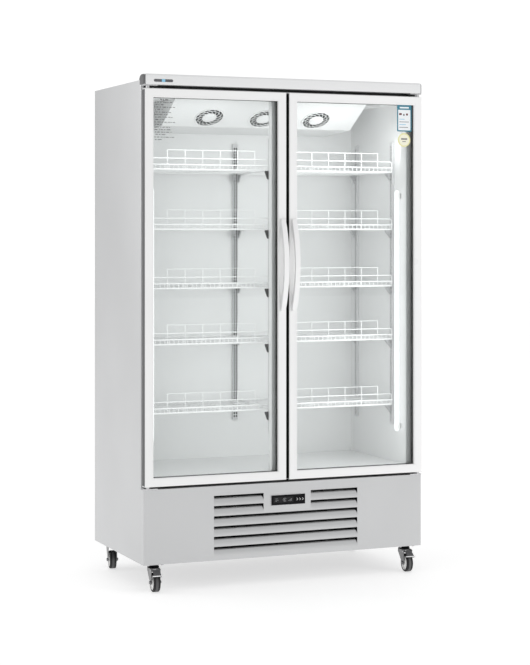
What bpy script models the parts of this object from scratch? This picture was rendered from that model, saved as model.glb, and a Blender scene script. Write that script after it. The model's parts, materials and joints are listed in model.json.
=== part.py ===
"""A two-door glass-front merchandiser refrigerator on four casters, as separate parts.

Metres, +Z up, +X to the right as seen from the front, and the front faces -Y. The origin is on
the floor under the middle of the overall box. The doors are closed and the casters stand down.
"""

import math

import bmesh
import bpy
from mathutils import Matrix, Vector

# Fits
GAP = 0.0003
SHEET = 0.0012
OVERLAP = 0.0005

# Overall box
CABINET_WIDTH = 1.200
CANOPY_WIDTH = 1.208
OVERALL_HEIGHT = 2.000
OVERALL_DEPTH = 0.688
BASE_Z = 0.106
ROOF_Z = 1.978
HALF = CABINET_WIDTH / 2
BACK_Y = OVERALL_DEPTH / 2

# Doors, which set the front of the cabinet behind them
HANDLE_REACH = 0.048
DOOR_FRONT_Y = HANDLE_REACH - OVERALL_DEPTH / 2
DOOR_THICKNESS = 0.034
DOOR_INNER_X = 0.0065
DOOR_OUTER_X = 0.597
DOOR_LOW_Z = 0.408
DOOR_HIGH_Z = 1.943
STILE = 0.034
GLASS_RECESS = 0.012
GLASS_BITE = 0.008
GASKET_DEPTH = 0.0107
GASKET_SHY = 0.005
GASKET_EDGE = 0.004
GASKET_HINGE_EDGE = 0.014
DOOR_REAR_Y = DOOR_FRONT_Y + DOOR_THICKNESS
CABINET_FRONT_Y = DOOR_REAR_Y + GASKET_DEPTH + GAP
HINGE_X = 0.583
HINGE_Y = DOOR_FRONT_Y + 0.011
HINGE_PIN_RADIUS = 0.004
HINGE_PIN_DEPTH = 0.012
HINGE_PLATE = 0.004
HINGE_PLATE_INNER_X = 0.545

# Bow handle
HANDLE_X = 0.024
HANDLE_WIDTH = 0.020
HANDLE_LOW_Z = 1.077
HANDLE_HIGH_Z = 1.442
HANDLE_FOOT = 0.030
HANDLE_END_REACH = 0.010
HANDLE_GRIP = 0.011

# Front base panel and its louvers
BASE_FRONT_Y = DOOR_FRONT_Y + 0.011
BASE_TOP_Z = 0.397
BASE_CORNER = 0.004
LOUVER_HALF_WIDTH = 0.310
LOUVER_TOP_Z = 0.359
LOUVER_PITCH = 0.040
LOUVER_SLOT = 0.009
LOUVER_HEIGHT = 0.036
LOUVER_INSET = 0.012
LOUVER_ROWS = 6
SHORT_ROWS = 2
SHORT_INNER_X = 0.100

# Temperature controller
CONTROL_LOW_X = -0.070
CONTROL_HIGH_X = 0.080
CONTROL_LOW_Z = 0.306
CONTROL_HIGH_Z = 0.349
CONTROL_PROUD = 0.0025
CONTROL_BODY_DEPTH = 0.050
CONTROL_RIM = 0.006
BUTTON_X = (0.044, 0.056, 0.068)
BUTTON_NAMES = ("button_set", "button_up", "button_down")
BUTTON_WIDTH = 0.009
BUTTON_HEIGHT = 0.012
BUTTON_PROUD = 0.0008
BUTTON_DEPTH = 0.003
BUTTON_POCKET = 0.0045

# Canopy over the doors
CANOPY_LOW_Z = 1.958
CANOPY_CORNER = 0.022
CANOPY_EDGE = 0.010
CANOPY_REAR_Y = -0.241
CANOPY_WALL = 0.003
CANOPY_SLOPE_START_Y = -0.262

# Storage space inside the liner
CAVITY_HALF = 0.550
CAVITY_BACK_Y = 0.277
CAVITY_LOW_Z = 0.435
CAVITY_HIGH_Z = 1.918
FOAM_LOW_Z = 0.385
FLANGE_INNER_X = 0.575
ROOF_FLANGE_Z = 1.942
MULLION_HALF = 0.050
MULLION_DEPTH = 0.036

# Slotted shelf standards and their clips
STANDARD_LOW_Z = 0.592
STANDARD_HIGH_Z = 1.764
STANDARD_WIDTH = 0.022
STANDARD_DEPTH = 0.010
STANDARD_WALL = 0.002
STANDARD_FRONT_Y = -0.129
STANDARD_REAR_Y = 0.211
CENTER_STANDARD_WIDTH = 0.036
CLIP_REACH = 0.028
CLIP_DROP = 0.034
CLIP_WIDTH = 0.008

# Wire shelves
SHELF_LEVELS = (0.672, 0.943, 1.164, 1.398, 1.635)
SHELF_INNER_X = 0.012
SHELF_OUTER_X = 0.538
SHELF_FRONT_Y = -0.156
SHELF_REAR_Y = 0.254
SHELF_DECK = 0.006
SHELF_RAILS = (0.022, 0.047, 0.0795)
SHELF_BAR = 0.005
SHELF_SLOTS = 7
SHELF_POSTS = 4

# Evaporator cover under the ceiling, with three fans blowing down its sloping front
COVER_HALF = 0.420
COVER_SHEET = 0.0015
COVER_FRONT_Y = -0.146
COVER_KNEE_Y = 0.018
COVER_KNEE_Z = 1.819
COVER_REAR_Z = 1.805
FAN_X = (-0.237, 0.0, 0.237)
FAN_NAMES = ("evaporator_fan_left", "evaporator_fan_center", "evaporator_fan_right")
FAN_Y = -0.041
FAN_HOLE_RADIUS = 0.060
FAN_TIP_RADIUS = 0.054
FAN_HUB_RADIUS = 0.017
FAN_BLADES = 5
FAN_SETBACK = 0.008
FAN_HUB_LENGTH = 0.014
FAN_MOTOR_RADIUS = 0.020
FAN_MOTOR_LENGTH = 0.024
FAN_RUNNING_GAP = 0.002
MOTOR_RAIL_HALF = 0.012
MOTOR_RAIL_THICKNESS = 0.003
BLADE_THICKNESS = 0.0016
BLADE_SHARE = 0.62

# Lamps
LAMP_RADIUS = 0.011
LAMP_X = CAVITY_HALF - 0.0135
LAMP_Y = -0.191
LAMP_LOW_Z = 0.566
LAMP_HIGH_Z = 1.564

# Refrigeration unit in the base
CONDENSER_HALF = 0.190
CONDENSER_LOW_Z = 0.114
CONDENSER_HIGH_Z = 0.350
CONDENSER_FRONT_Y = -0.215
CONDENSER_DEPTH = 0.056
CONDENSER_FAN_Z = 0.232
CONDENSER_FAN_HOLE = 0.100
CONDENSER_FAN_TIP = 0.092
CONDENSER_FAN_BLADES = 4
TUBE_RADIUS = 0.005
COMPRESSOR_X = 0.300
COMPRESSOR_Y = 0.120
COMPRESSOR_RADIUS = 0.078

# Casters
CASTER_X = 0.545
CASTER_FRONT_Y = -0.240
CASTER_REAR_Y = 0.289
CASTER_TRAIL = 0.030
CASTERS = (
    ("front_left", -CASTER_X, CASTER_FRONT_Y, -5.0),
    ("front_right", CASTER_X, CASTER_FRONT_Y, -5.0),
    ("rear_left", -CASTER_X, CASTER_REAR_Y, -11.0),
    ("rear_right", CASTER_X, CASTER_REAR_Y, -7.0),
)
PLATE_LENGTH = 0.072
PLATE_WIDTH = 0.062
PLATE_THICKNESS = 0.0025
WHEEL_RADIUS = 0.0375
WHEEL_WIDTH = 0.028
WHEEL_SIDES = 24
AXLE_Z = WHEEL_RADIUS * math.cos(math.pi / WHEEL_SIDES)
AXLE_RADIUS = 0.004
LEG_INNER = 0.0165
LEG_THICKNESS = 0.0025
FORK_TOP_Z = BASE_Z - PLATE_THICKNESS - GAP
CROWN_Z = 0.090
CROWN_THICKNESS = 0.004
RACE_RADIUS = 0.023
FORK_HEEL = 0.022
FORK_SHOULDER = 0.014
AXLE_BOSS = 0.010
NUT_HEIGHT = 0.006
PEDAL_REACH = 0.036
PEDAL_Z = 0.0835
PEDAL_PIN_RADIUS = 0.0025

# Colour, roughness and metallic value of each material
FINISHES = {
    "stainless": ((0.74, 0.75, 0.76), 0.36, 0.85),
    "white_enamel": ((0.86, 0.87, 0.88), 0.35, 0.0),
    "liner_white": ((0.88, 0.89, 0.89), 0.40, 0.0),
    "galvanised": ((0.62, 0.64, 0.66), 0.45, 0.9),
    "zinc": ((0.66, 0.67, 0.68), 0.30, 1.0),
    "glass": ((0.90, 0.95, 0.94), 0.02, 0.0),
    "gasket": ((0.20, 0.20, 0.21), 0.60, 0.0),
    "wire_white": ((0.90, 0.91, 0.91), 0.35, 0.0),
    "black_plastic": ((0.02, 0.02, 0.022), 0.35, 0.0),
    "button_grey": ((0.70, 0.71, 0.72), 0.50, 0.0),
    "fan_black": ((0.03, 0.03, 0.03), 0.45, 0.0),
    "lamp": ((0.95, 0.96, 0.97), 0.30, 0.0),
    "aluminium": ((0.78, 0.79, 0.80), 0.35, 1.0),
    "black_enamel": ((0.015, 0.015, 0.016), 0.40, 0.0),
    "tyre": ((0.025, 0.025, 0.027), 0.65, 0.0),
}


# --- Shape tools ---------------------------------------------------------------------------


def mesh_object(bm, name="shape"):
    """A new object from a bmesh, with its faces turned outwards."""
    bmesh.ops.recalc_face_normals(bm, faces=bm.faces)
    mesh = bpy.data.meshes.new(name)
    bm.to_mesh(mesh)
    bm.free()
    obj = bpy.data.objects.new(name, mesh)
    bpy.context.scene.collection.objects.link(obj)
    return obj


def block(x, y, z):
    """A box between the two values given for each axis, in any order."""
    low = Vector(min(pair) for pair in (x, y, z))
    high = Vector(max(pair) for pair in (x, y, z))
    bm = bmesh.new()
    bmesh.ops.create_cube(bm, size=1.0)
    bmesh.ops.scale(bm, vec=high - low, verts=bm.verts)
    bmesh.ops.translate(bm, vec=(low + high) / 2, verts=bm.verts)
    return mesh_object(bm)


def rounded_block(x, y, z, chosen, radius, segments):
    """A box whose edges that the test picks by their middle and direction are rounded."""
    obj = block(x, y, z)
    bm = bmesh.new()
    bm.from_mesh(obj.data)
    edges = []
    for edge in bm.edges:
        start, end = (vert.co for vert in edge.verts)
        if chosen((start + end) / 2, (end - start).normalized()):
            edges.append(edge)
    bmesh.ops.bevel(
        bm, geom=edges, offset=radius, segments=segments, profile=0.5, affect="EDGES"
    )
    bm.to_mesh(obj.data)
    bm.free()
    return obj


def rod(start, end, radius, sides=16):
    """A cylinder from one point to another."""
    start, end = Vector(start), Vector(end)
    along = end - start
    bm = bmesh.new()
    bmesh.ops.create_cone(
        bm,
        cap_ends=True,
        segments=sides,
        radius1=radius,
        radius2=radius,
        depth=along.length,
    )
    turn = along.to_track_quat("Z", "Y").to_matrix().to_4x4()
    bmesh.ops.transform(bm, matrix=Matrix.Translation((start + end) / 2) @ turn, verts=bm.verts)
    return mesh_object(bm)


def prism(outline, axis, low, high):
    """An outline of (a, b) points extruded along X as (Y, Z) or along Z as (X, Y)."""
    bm = bmesh.new()
    if axis == "X":
        points = [Vector((low, a, b)) for a, b in outline]
        along = Vector((high - low, 0, 0))
    else:
        points = [Vector((a, b, low)) for a, b in outline]
        along = Vector((0, 0, high - low))
    face = bm.faces.new([bm.verts.new(point) for point in points])
    grown = bmesh.ops.extrude_face_region(bm, geom=[face])["geom"]
    moved = [item for item in grown if isinstance(item, bmesh.types.BMVert)]
    bmesh.ops.translate(bm, vec=along, verts=moved)
    return mesh_object(bm)


def turned(profile, axis, centre, sides, phase=0.0):
    """A profile of (distance along the axis, radius) points spun round the X or the Z axis."""
    centre = Vector(centre)
    bm = bmesh.new()
    verts = []
    for along, radius in profile:
        if axis == "X":
            offset = (along, radius * math.sin(phase), radius * math.cos(phase))
        else:
            offset = (radius * math.cos(phase), radius * math.sin(phase), along)
        verts.append(bm.verts.new(centre + Vector(offset)))
    closed = profile[0][1] > 0
    edges = [bm.edges.new(pair) for pair in zip(verts, verts[1:])]
    if closed:
        edges.append(bm.edges.new((verts[-1], verts[0])))
    bmesh.ops.spin(
        bm,
        geom=verts + edges,
        cent=centre,
        axis=(1, 0, 0) if axis == "X" else (0, 0, 1),
        angle=math.tau,
        steps=sides,
        use_merge=True,
    )
    bmesh.ops.remove_doubles(bm, verts=bm.verts, dist=1e-6)
    return mesh_object(bm)


def fused(pieces, cuts=()):
    """The pieces joined and then cut, as one mesh. The shapes used are removed."""
    base = pieces[0]
    steps = [(piece, "UNION") for piece in pieces[1:]]
    steps += [(cut, "DIFFERENCE") for cut in cuts]
    for tool, operation in steps:
        modifier = base.modifiers.new(operation.title(), "BOOLEAN")
        modifier.operation = operation
        modifier.object = tool
    graph = bpy.context.evaluated_depsgraph_get()
    mesh = bpy.data.meshes.new_from_object(base.evaluated_get(graph))
    for obj in [base] + [tool for tool, _ in steps]:
        bpy.data.objects.remove(obj)
    return mesh


def cut_shape(pieces, cuts):
    """The pieces joined and cut, as a shape that more pieces can then be joined to."""
    obj = bpy.data.objects.new("shape", fused(pieces, cuts))
    bpy.context.scene.collection.objects.link(obj)
    return obj


def part(name, mesh, finish, smooth=False, origin=(0, 0, 0), pivot=None):
    """A named part whose mesh is given in place; its origin is put at the point asked."""
    mesh.transform(Matrix.Translation(-Vector(origin)))
    return copy_of(name, mesh, finish, smooth, origin, pivot)


def copy_of(name, mesh, finish, smooth=False, location=(0, 0, 0), pivot=None):
    """A named part that uses the mesh as it is, at a place under its pivot."""
    obj = bpy.data.objects.new(name, mesh)
    bpy.context.scene.collection.objects.link(obj)
    obj.location = Vector(location)
    obj.parent = pivot
    if not mesh.materials:
        mesh.materials.append(material(finish))
    if smooth:
        mesh.shade_smooth()
        mesh.set_sharp_from_angle(angle=math.radians(35))
    return obj


def pivot(name, location, turn_degrees=0.0):
    """An empty on a joint's axis, which carries the parts that move with it."""
    empty = bpy.data.objects.new(name, None)
    empty.empty_display_size = 0.05
    empty.location = location
    empty.rotation_euler.z = math.radians(turn_degrees)
    bpy.context.scene.collection.objects.link(empty)
    return empty


def material(name):
    """The Principled material of this name, made once."""
    if name in bpy.data.materials:
        return bpy.data.materials[name]
    colour, roughness, metallic = FINISHES[name]
    made = bpy.data.materials.new(name)
    made.use_nodes = True
    shader = made.node_tree.nodes["Principled BSDF"]
    shader.inputs["Base Color"].default_value = (*colour, 1.0)
    shader.inputs["Roughness"].default_value = roughness
    shader.inputs["Metallic"].default_value = metallic
    if name == "glass":
        shader.inputs["Transmission Weight"].default_value = 1.0
    return made


def clear_scene():
    for obj in list(bpy.data.objects):
        bpy.data.objects.remove(obj)


# --- Cabinet -------------------------------------------------------------------------------

INSIDE_HALF = HALF - SHEET - GAP
INSIDE_FRONT_Y = CABINET_FRONT_Y + SHEET + GAP
BACK_SHEET_Y = BACK_Y - SHEET
INSIDE_BACK_Y = BACK_SHEET_Y - GAP


def make_side_panels():
    """A steel sheet on each side, folded inwards along its front edge."""
    for name, side in (("side_panel_left", -1), ("side_panel_right", 1)):
        sheet = block(
            (side * (HALF - SHEET), side * HALF),
            (CABINET_FRONT_Y, INSIDE_BACK_Y),
            (BASE_Z, ROOF_Z),
        )
        flange = block(
            (side * FLANGE_INNER_X, side * (HALF - OVERLAP)),
            (CABINET_FRONT_Y, CABINET_FRONT_Y + SHEET),
            (BASE_Z, ROOF_Z),
        )
        part(name, fused([sheet, flange]), "stainless")


def make_back_panel():
    """The rear sheet, with air slots behind the refrigeration unit and a gland for the cable."""
    slot_length, slot_height, slot_pitch = 0.200, 0.008, 0.030
    gland_x, gland_z, gland_radius, bore_radius = -0.480, 0.180, 0.014, 0.005
    sheet = block((-HALF, HALF), (BACK_SHEET_Y, BACK_Y), (BASE_Z, ROOF_Z))
    gland = rod(
        (gland_x, BACK_Y - OVERLAP, gland_z),
        (gland_x, BACK_Y - gland_radius, gland_z),
        gland_radius,
    )
    cuts = [
        rod(
            (gland_x, BACK_Y + gland_radius, gland_z),
            (gland_x, BACK_Y - 2 * gland_radius, gland_z),
            bore_radius,
            12,
        )
    ]
    for column in (-0.150, 0.150):
        for row in range(6):
            low = 0.150 + row * slot_pitch
            cuts.append(
                block(
                    (column - slot_length / 2, column + slot_length / 2),
                    (BACK_SHEET_Y - SHEET, BACK_Y + SHEET),
                    (low, low + slot_height),
                )
            )
    part("back_panel", fused([sheet, gland], cuts), "galvanised")


def make_roof_panel():
    """The top sheet between the side panels, folded down along its front edge."""
    sheet = block(
        (-INSIDE_HALF, INSIDE_HALF), (CABINET_FRONT_Y, INSIDE_BACK_Y), (ROOF_Z - SHEET, ROOF_Z)
    )
    flange_half = FLANGE_INNER_X - GAP
    flange = block(
        (-flange_half, flange_half),
        (CABINET_FRONT_Y, CABINET_FRONT_Y + SHEET),
        (ROOF_FLANGE_Z, ROOF_Z - OVERLAP),
    )
    # The side panels' own folded edges take up the corners.
    corners = [
        block(
            (side * flange_half, side * HALF),
            (CABINET_FRONT_Y - SHEET, INSIDE_FRONT_Y),
            (ROOF_FLANGE_Z, ROOF_Z + SHEET),
        )
        for side in (-1, 1)
    ]
    part("roof_panel", fused([sheet, flange], corners), "stainless")


def make_base_pan():
    """The floor of the unit's compartment, with the four caster plates under it."""
    pieces = [
        block(
            (-INSIDE_HALF, INSIDE_HALF),
            (INSIDE_FRONT_Y, INSIDE_BACK_Y),
            (BASE_Z, BASE_Z + 2 * SHEET),
        )
    ]
    for _, x, y, _ in CASTERS:
        pieces.append(
            block(
                (x - PLATE_LENGTH / 2, x + PLATE_LENGTH / 2),
                (y - PLATE_WIDTH / 2, y + PLATE_WIDTH / 2),
                (BASE_Z - PLATE_THICKNESS, BASE_Z - GAP),
            )
        )
        # The weld between plate and pan, which stops short of the louver panel.
        pieces.append(
            block(
                (x - PLATE_LENGTH / 3, x + PLATE_LENGTH / 3),
                (max(y - PLATE_WIDTH / 3, INSIDE_FRONT_Y + OVERLAP), y + PLATE_WIDTH / 3),
                (BASE_Z - PLATE_THICKNESS / 2, BASE_Z + OVERLAP),
            )
        )
    part("base_pan", fused(pieces), "galvanised")


def make_insulated_liner():
    """The white inner tub with the foam that is moulded onto it, filling the walls."""
    foam = block(
        (-INSIDE_HALF, INSIDE_HALF),
        (INSIDE_FRONT_Y, INSIDE_BACK_Y),
        (FOAM_LOW_Z, ROOF_Z - SHEET - GAP),
    )
    rim_half = FLANGE_INNER_X - 2 * GAP
    rim = block(
        (-rim_half, rim_half),
        (CABINET_FRONT_Y, INSIDE_FRONT_Y + OVERLAP),
        (FOAM_LOW_Z, ROOF_FLANGE_Z - GAP),
    )
    cavity = block(
        (-CAVITY_HALF, CAVITY_HALF),
        (CABINET_FRONT_Y - SHEET, CAVITY_BACK_Y),
        (CAVITY_LOW_Z, CAVITY_HIGH_Z),
    )
    part("insulated_liner", fused([foam, rim], [cavity]), "liner_white")


def clip(x, side, y, level):
    """A triangular shelf clip, reaching sideways from a standard just under a shelf."""
    top = level - GAP
    outline = [
        (x - side * OVERLAP, top),
        (x + side * CLIP_REACH, top),
        (x + side * CLIP_REACH, top - CLIP_WIDTH / 2),
        (x - side * OVERLAP, top - CLIP_DROP),
    ]
    shape = prism(outline, "X", -CLIP_WIDTH / 2, CLIP_WIDTH / 2)
    # The prism was drawn with the sideways reach along Y, so it is turned to lie along X.
    shape.data.transform(Matrix(((0, 1, 0, 0), (-1, 0, 0, y), (0, 0, 1, 0), (0, 0, 0, 1))))
    return shape


def make_center_mullion():
    """The post behind the gap between the doors, with the front centre shelf clips on it."""
    rear = CABINET_FRONT_Y + MULLION_DEPTH
    standard_half = MULLION_HALF - STANDARD_WALL
    pieces = [
        block(
            (-MULLION_HALF, MULLION_HALF),
            (CABINET_FRONT_Y, rear),
            (CAVITY_LOW_Z + GAP, CAVITY_HIGH_Z - GAP),
        ),
        block(
            (-standard_half, standard_half),
            (rear - OVERLAP, rear + STANDARD_DEPTH),
            (STANDARD_LOW_Z, STANDARD_HIGH_Z),
        ),
    ]
    reach = CLIP_REACH / 2
    for level in SHELF_LEVELS:
        for side in (-1, 1):
            pieces.append(
                block(
                    (side * (standard_half - OVERLAP), side * (standard_half + reach)),
                    (rear + OVERLAP, rear + STANDARD_DEPTH - OVERLAP),
                    (level - CLIP_DROP, level - GAP),
                )
            )
    part("center_mullion", fused(pieces), "white_enamel")


def make_wall_standards():
    """Two channel-section standards on each side wall, with a clip under each shelf."""
    for side_name, side in (("left", -1), ("right", 1)):
        for place, y in (("front", STANDARD_FRONT_Y), ("rear", STANDARD_REAR_Y)):
            wall = side * (CAVITY_HALF - GAP)
            face = wall - side * STANDARD_DEPTH
            pieces = [
                block(
                    (wall, face),
                    (y - STANDARD_WIDTH / 2, y + STANDARD_WIDTH / 2),
                    (STANDARD_LOW_Z, STANDARD_HIGH_Z),
                )
            ]
            pieces += [clip(face, -side, y, level) for level in SHELF_LEVELS]
            channel = block(
                (wall + side * SHEET, face + side * STANDARD_WALL),
                (y - STANDARD_WIDTH / 2 + STANDARD_WALL, y + STANDARD_WIDTH / 2 - STANDARD_WALL),
                (STANDARD_LOW_Z - SHEET, STANDARD_HIGH_Z + SHEET),
            )
            name = f"shelf_standard_{side_name}_{place}"
            part(name, fused(pieces, [channel]), "galvanised")


def make_center_standard():
    """The double standard in the middle of the back wall, with clips to both sides."""
    wall = CAVITY_BACK_Y - GAP
    half = CENTER_STANDARD_WIDTH / 2
    pieces = [
        block((-half, half), (wall - STANDARD_DEPTH, wall), (STANDARD_LOW_Z, STANDARD_HIGH_Z))
    ]
    reach = CLIP_REACH / 2
    for level in SHELF_LEVELS:
        pieces.append(
            block(
                (-half - reach, half + reach),
                (wall - STANDARD_DEPTH - CLIP_REACH, wall - STANDARD_DEPTH + OVERLAP),
                (level - CLIP_WIDTH, level - GAP),
            )
        )
    part("shelf_standard_center_rear", fused(pieces), "galvanised")


def make_header_canopy():
    """The hollow cap over the doors, rounded at its ends and sloping down to the roof."""
    half = CANOPY_WIDTH / 2

    def front_corner(middle, direction):
        return abs(direction.z) > 0.9 and middle.y < CANOPY_SLOPE_START_Y - CANOPY_CORNER

    shell = rounded_block(
        (-half, half),
        (DOOR_FRONT_Y, CANOPY_REAR_Y),
        (CANOPY_LOW_Z, OVERALL_HEIGHT),
        front_corner,
        CANOPY_CORNER,
        5,
    )
    # It is open underneath, except over the hinge brackets at its ends.
    hollow = block(
        (-HINGE_PLATE_INNER_X + CANOPY_WALL, HINGE_PLATE_INNER_X - CANOPY_WALL),
        (DOOR_FRONT_Y + CANOPY_WALL, CANOPY_SLOPE_START_Y),
        (CANOPY_LOW_Z - CANOPY_WALL, OVERALL_HEIGHT - 3 * CANOPY_WALL),
    )
    edge = DOOR_FRONT_Y + CANOPY_EDGE
    top = OVERALL_HEIGHT
    chamfer = prism(
        [
            (DOOR_FRONT_Y - CANOPY_EDGE, top - CANOPY_EDGE),
            (DOOR_FRONT_Y, top - CANOPY_EDGE),
            (edge - CANOPY_EDGE * 0.707, top - CANOPY_EDGE * 0.293),
            (edge, top),
            (edge, top + CANOPY_EDGE),
            (DOOR_FRONT_Y - CANOPY_EDGE, top + CANOPY_EDGE),
        ],
        "X",
        -HALF - CANOPY_CORNER,
        HALF + CANOPY_CORNER,
    )
    slope = prism(
        [
            (CANOPY_SLOPE_START_Y, top + CANOPY_EDGE),
            (CANOPY_SLOPE_START_Y, top),
            (CANOPY_REAR_Y + OVERLAP, ROOF_Z + 2 * SHEET),
            (CANOPY_REAR_Y + CANOPY_EDGE, ROOF_Z + 2 * SHEET),
            (CANOPY_REAR_Y + CANOPY_EDGE, top + CANOPY_EDGE),
        ],
        "X",
        -HALF - CANOPY_CORNER,
        HALF + CANOPY_CORNER,
    )
    cabinet = block(
        (-half - SHEET, half + SHEET),
        (CABINET_FRONT_Y - GAP, CANOPY_REAR_Y + CANOPY_EDGE),
        (CANOPY_LOW_Z - SHEET, ROOF_Z + GAP),
    )
    part("header_canopy", fused([shell], [hollow, chamfer, slope, cabinet]), "stainless", True)


# --- Front base panel and controller -------------------------------------------------------


def louver_spans():
    """The height of each louver's top and its ends: short ones beside the controller first."""
    for row in range(LOUVER_ROWS):
        top = LOUVER_TOP_Z - row * LOUVER_PITCH
        if row < SHORT_ROWS:
            yield top, -LOUVER_HALF_WIDTH, -SHORT_INNER_X
            yield top, SHORT_INNER_X + BASE_CORNER, LOUVER_HALF_WIDTH
        else:
            yield top, -LOUVER_HALF_WIDTH, LOUVER_HALF_WIDTH


def make_louver_panel():
    """The front cover of the base: a folded tray with pressed-in louvers and a cut-out."""

    def front_corner(middle, direction):
        return abs(direction.z) > 0.9 and middle.y < BASE_FRONT_Y + BASE_CORNER

    rear = CABINET_FRONT_Y - GAP
    tray = rounded_block(
        (-HALF, HALF),
        (BASE_FRONT_Y, rear),
        (BASE_Z, BASE_TOP_Z),
        front_corner,
        BASE_CORNER,
        3,
    )
    inner = BASE_FRONT_Y + SHEET
    cuts = [
        block(
            (-HALF + SHEET, HALF - SHEET),
            (inner, rear + SHEET),
            (BASE_Z + SHEET, BASE_TOP_Z - SHEET),
        ),
        block(
            (CONTROL_LOW_X + CONTROL_RIM - GAP, CONTROL_HIGH_X - CONTROL_RIM + GAP),
            (BASE_FRONT_Y - SHEET, inner + SHEET),
            (CONTROL_LOW_Z + CONTROL_RIM - GAP, CONTROL_HIGH_Z - CONTROL_RIM + GAP),
        ),
    ]
    blades = []
    for top, left, right in louver_spans():
        low = top - LOUVER_HEIGHT
        cuts.append(block((left, right), (BASE_FRONT_Y - SHEET, inner + SHEET / 2), (low, top)))
        outline = [
            (BASE_FRONT_Y, low - SHEET),
            (inner + OVERLAP, low - SHEET),
            (BASE_FRONT_Y + LOUVER_INSET + SHEET, top - LOUVER_SLOT),
            (BASE_FRONT_Y + LOUVER_INSET, top - LOUVER_SLOT),
            (BASE_FRONT_Y, low + OVERLAP),
        ]
        blades.append(prism(outline, "X", left, right))
    part("louver_panel", fused([cut_shape([tray], cuts)] + blades), "stainless")


def make_controller():
    """The controller's bezel and body, with three keys that press in."""
    front = BASE_FRONT_Y - CONTROL_PROUD
    bezel = block(
        (CONTROL_LOW_X, CONTROL_HIGH_X), (front, BASE_FRONT_Y - GAP), (CONTROL_LOW_Z, CONTROL_HIGH_Z)
    )
    rim = CONTROL_RIM + GAP
    body = block(
        (CONTROL_LOW_X + rim, CONTROL_HIGH_X - rim),
        (BASE_FRONT_Y - OVERLAP, BASE_FRONT_Y + CONTROL_BODY_DEPTH),
        (CONTROL_LOW_Z + rim, CONTROL_HIGH_Z - rim),
    )
    middle_z = (CONTROL_LOW_Z + CONTROL_HIGH_Z) / 2
    pockets = []
    for name, x in zip(BUTTON_NAMES, BUTTON_X):
        half_x, half_z = BUTTON_WIDTH / 2, BUTTON_HEIGHT / 2
        pockets.append(
            block(
                (x - half_x - GAP, x + half_x + GAP),
                (front - SHEET, front + BUTTON_POCKET),
                (middle_z - half_z - GAP, middle_z + half_z + GAP),
            )
        )
        key = block(
            (x - half_x, x + half_x),
            (front - BUTTON_PROUD, front - BUTTON_PROUD + BUTTON_DEPTH),
            (middle_z - half_z, middle_z + half_z),
        )
        part(name, fused([key]), "button_grey", origin=(x, front, middle_z))
    part("controller_housing", fused([bezel, body], pockets), "black_plastic")


# --- Shelves -------------------------------------------------------------------------------


def shelf_mesh():
    """One shelf about its middle: a slotted deck with a three-rail guard along its front."""
    half = (SHELF_OUTER_X - SHELF_INNER_X) / 2
    deck = block((-half, half), (SHELF_FRONT_Y, SHELF_REAR_Y), (0, SHELF_DECK))
    guard_rear = SHELF_FRONT_Y + SHELF_BAR
    guard_top = SHELF_RAILS[-1] + SHELF_BAR / 2
    guard = block((-half, half), (SHELF_FRONT_Y, guard_rear), (0, guard_top))
    cuts = []
    pitch = (2 * half - SHELF_BAR) / SHELF_SLOTS
    for slot in range(SHELF_SLOTS):
        left = -half + SHELF_BAR + slot * pitch
        cuts.append(
            block(
                (left, left + pitch - SHELF_BAR),
                (guard_rear + 2 * SHELF_BAR, SHELF_REAR_Y - SHELF_BAR),
                (-SHELF_DECK, 2 * SHELF_DECK),
            )
        )
    rail_tops = [SHELF_DECK] + [rail + SHELF_BAR / 2 for rail in SHELF_RAILS]
    rail_undersides = [rail - SHELF_BAR / 2 for rail in SHELF_RAILS]
    post_pitch = (2 * half - SHELF_BAR) / (SHELF_POSTS - 1)
    for low, high in zip(rail_tops, rail_undersides):
        for bay in range(SHELF_POSTS - 1):
            left = -half + SHELF_BAR + bay * post_pitch
            cuts.append(
                block(
                    (left, left + post_pitch - SHELF_BAR),
                    (SHELF_FRONT_Y - SHELF_BAR, guard_rear + SHELF_BAR),
                    (low, high),
                )
            )
    return fused([deck, guard], cuts)


def make_shelves():
    """Five shelves behind each door, numbered from the bottom."""
    mesh = shelf_mesh()
    middle = (SHELF_INNER_X + SHELF_OUTER_X) / 2
    for side_name, side in (("left", -1), ("right", 1)):
        for number, level in enumerate(SHELF_LEVELS, start=1):
            location = (side * middle, 0, level)
            copy_of(f"shelf_{side_name}_{number}", mesh, "wire_white", location=location)


# --- Cooling ------------------------------------------------------------------------------

COVER_TOP_Z = CAVITY_HIGH_Z - GAP
COVER_REAR_Y = CAVITY_BACK_Y - GAP
COVER_SLOPE = Vector((0, COVER_KNEE_Y - COVER_FRONT_Y, COVER_KNEE_Z - COVER_TOP_Z)).normalized()
AIR_OUT = Vector((0, COVER_SLOPE.z, -COVER_SLOPE.y))


def fan_point(x, behind):
    """A point on a fan's axis, at this distance behind the sloping face of the cover."""
    share = (FAN_Y - COVER_FRONT_Y) / (COVER_KNEE_Y - COVER_FRONT_Y)
    z = COVER_TOP_Z + share * (COVER_KNEE_Z - COVER_TOP_Z)
    return Vector((x, FAN_Y, z)) - AIR_OUT * behind


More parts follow.
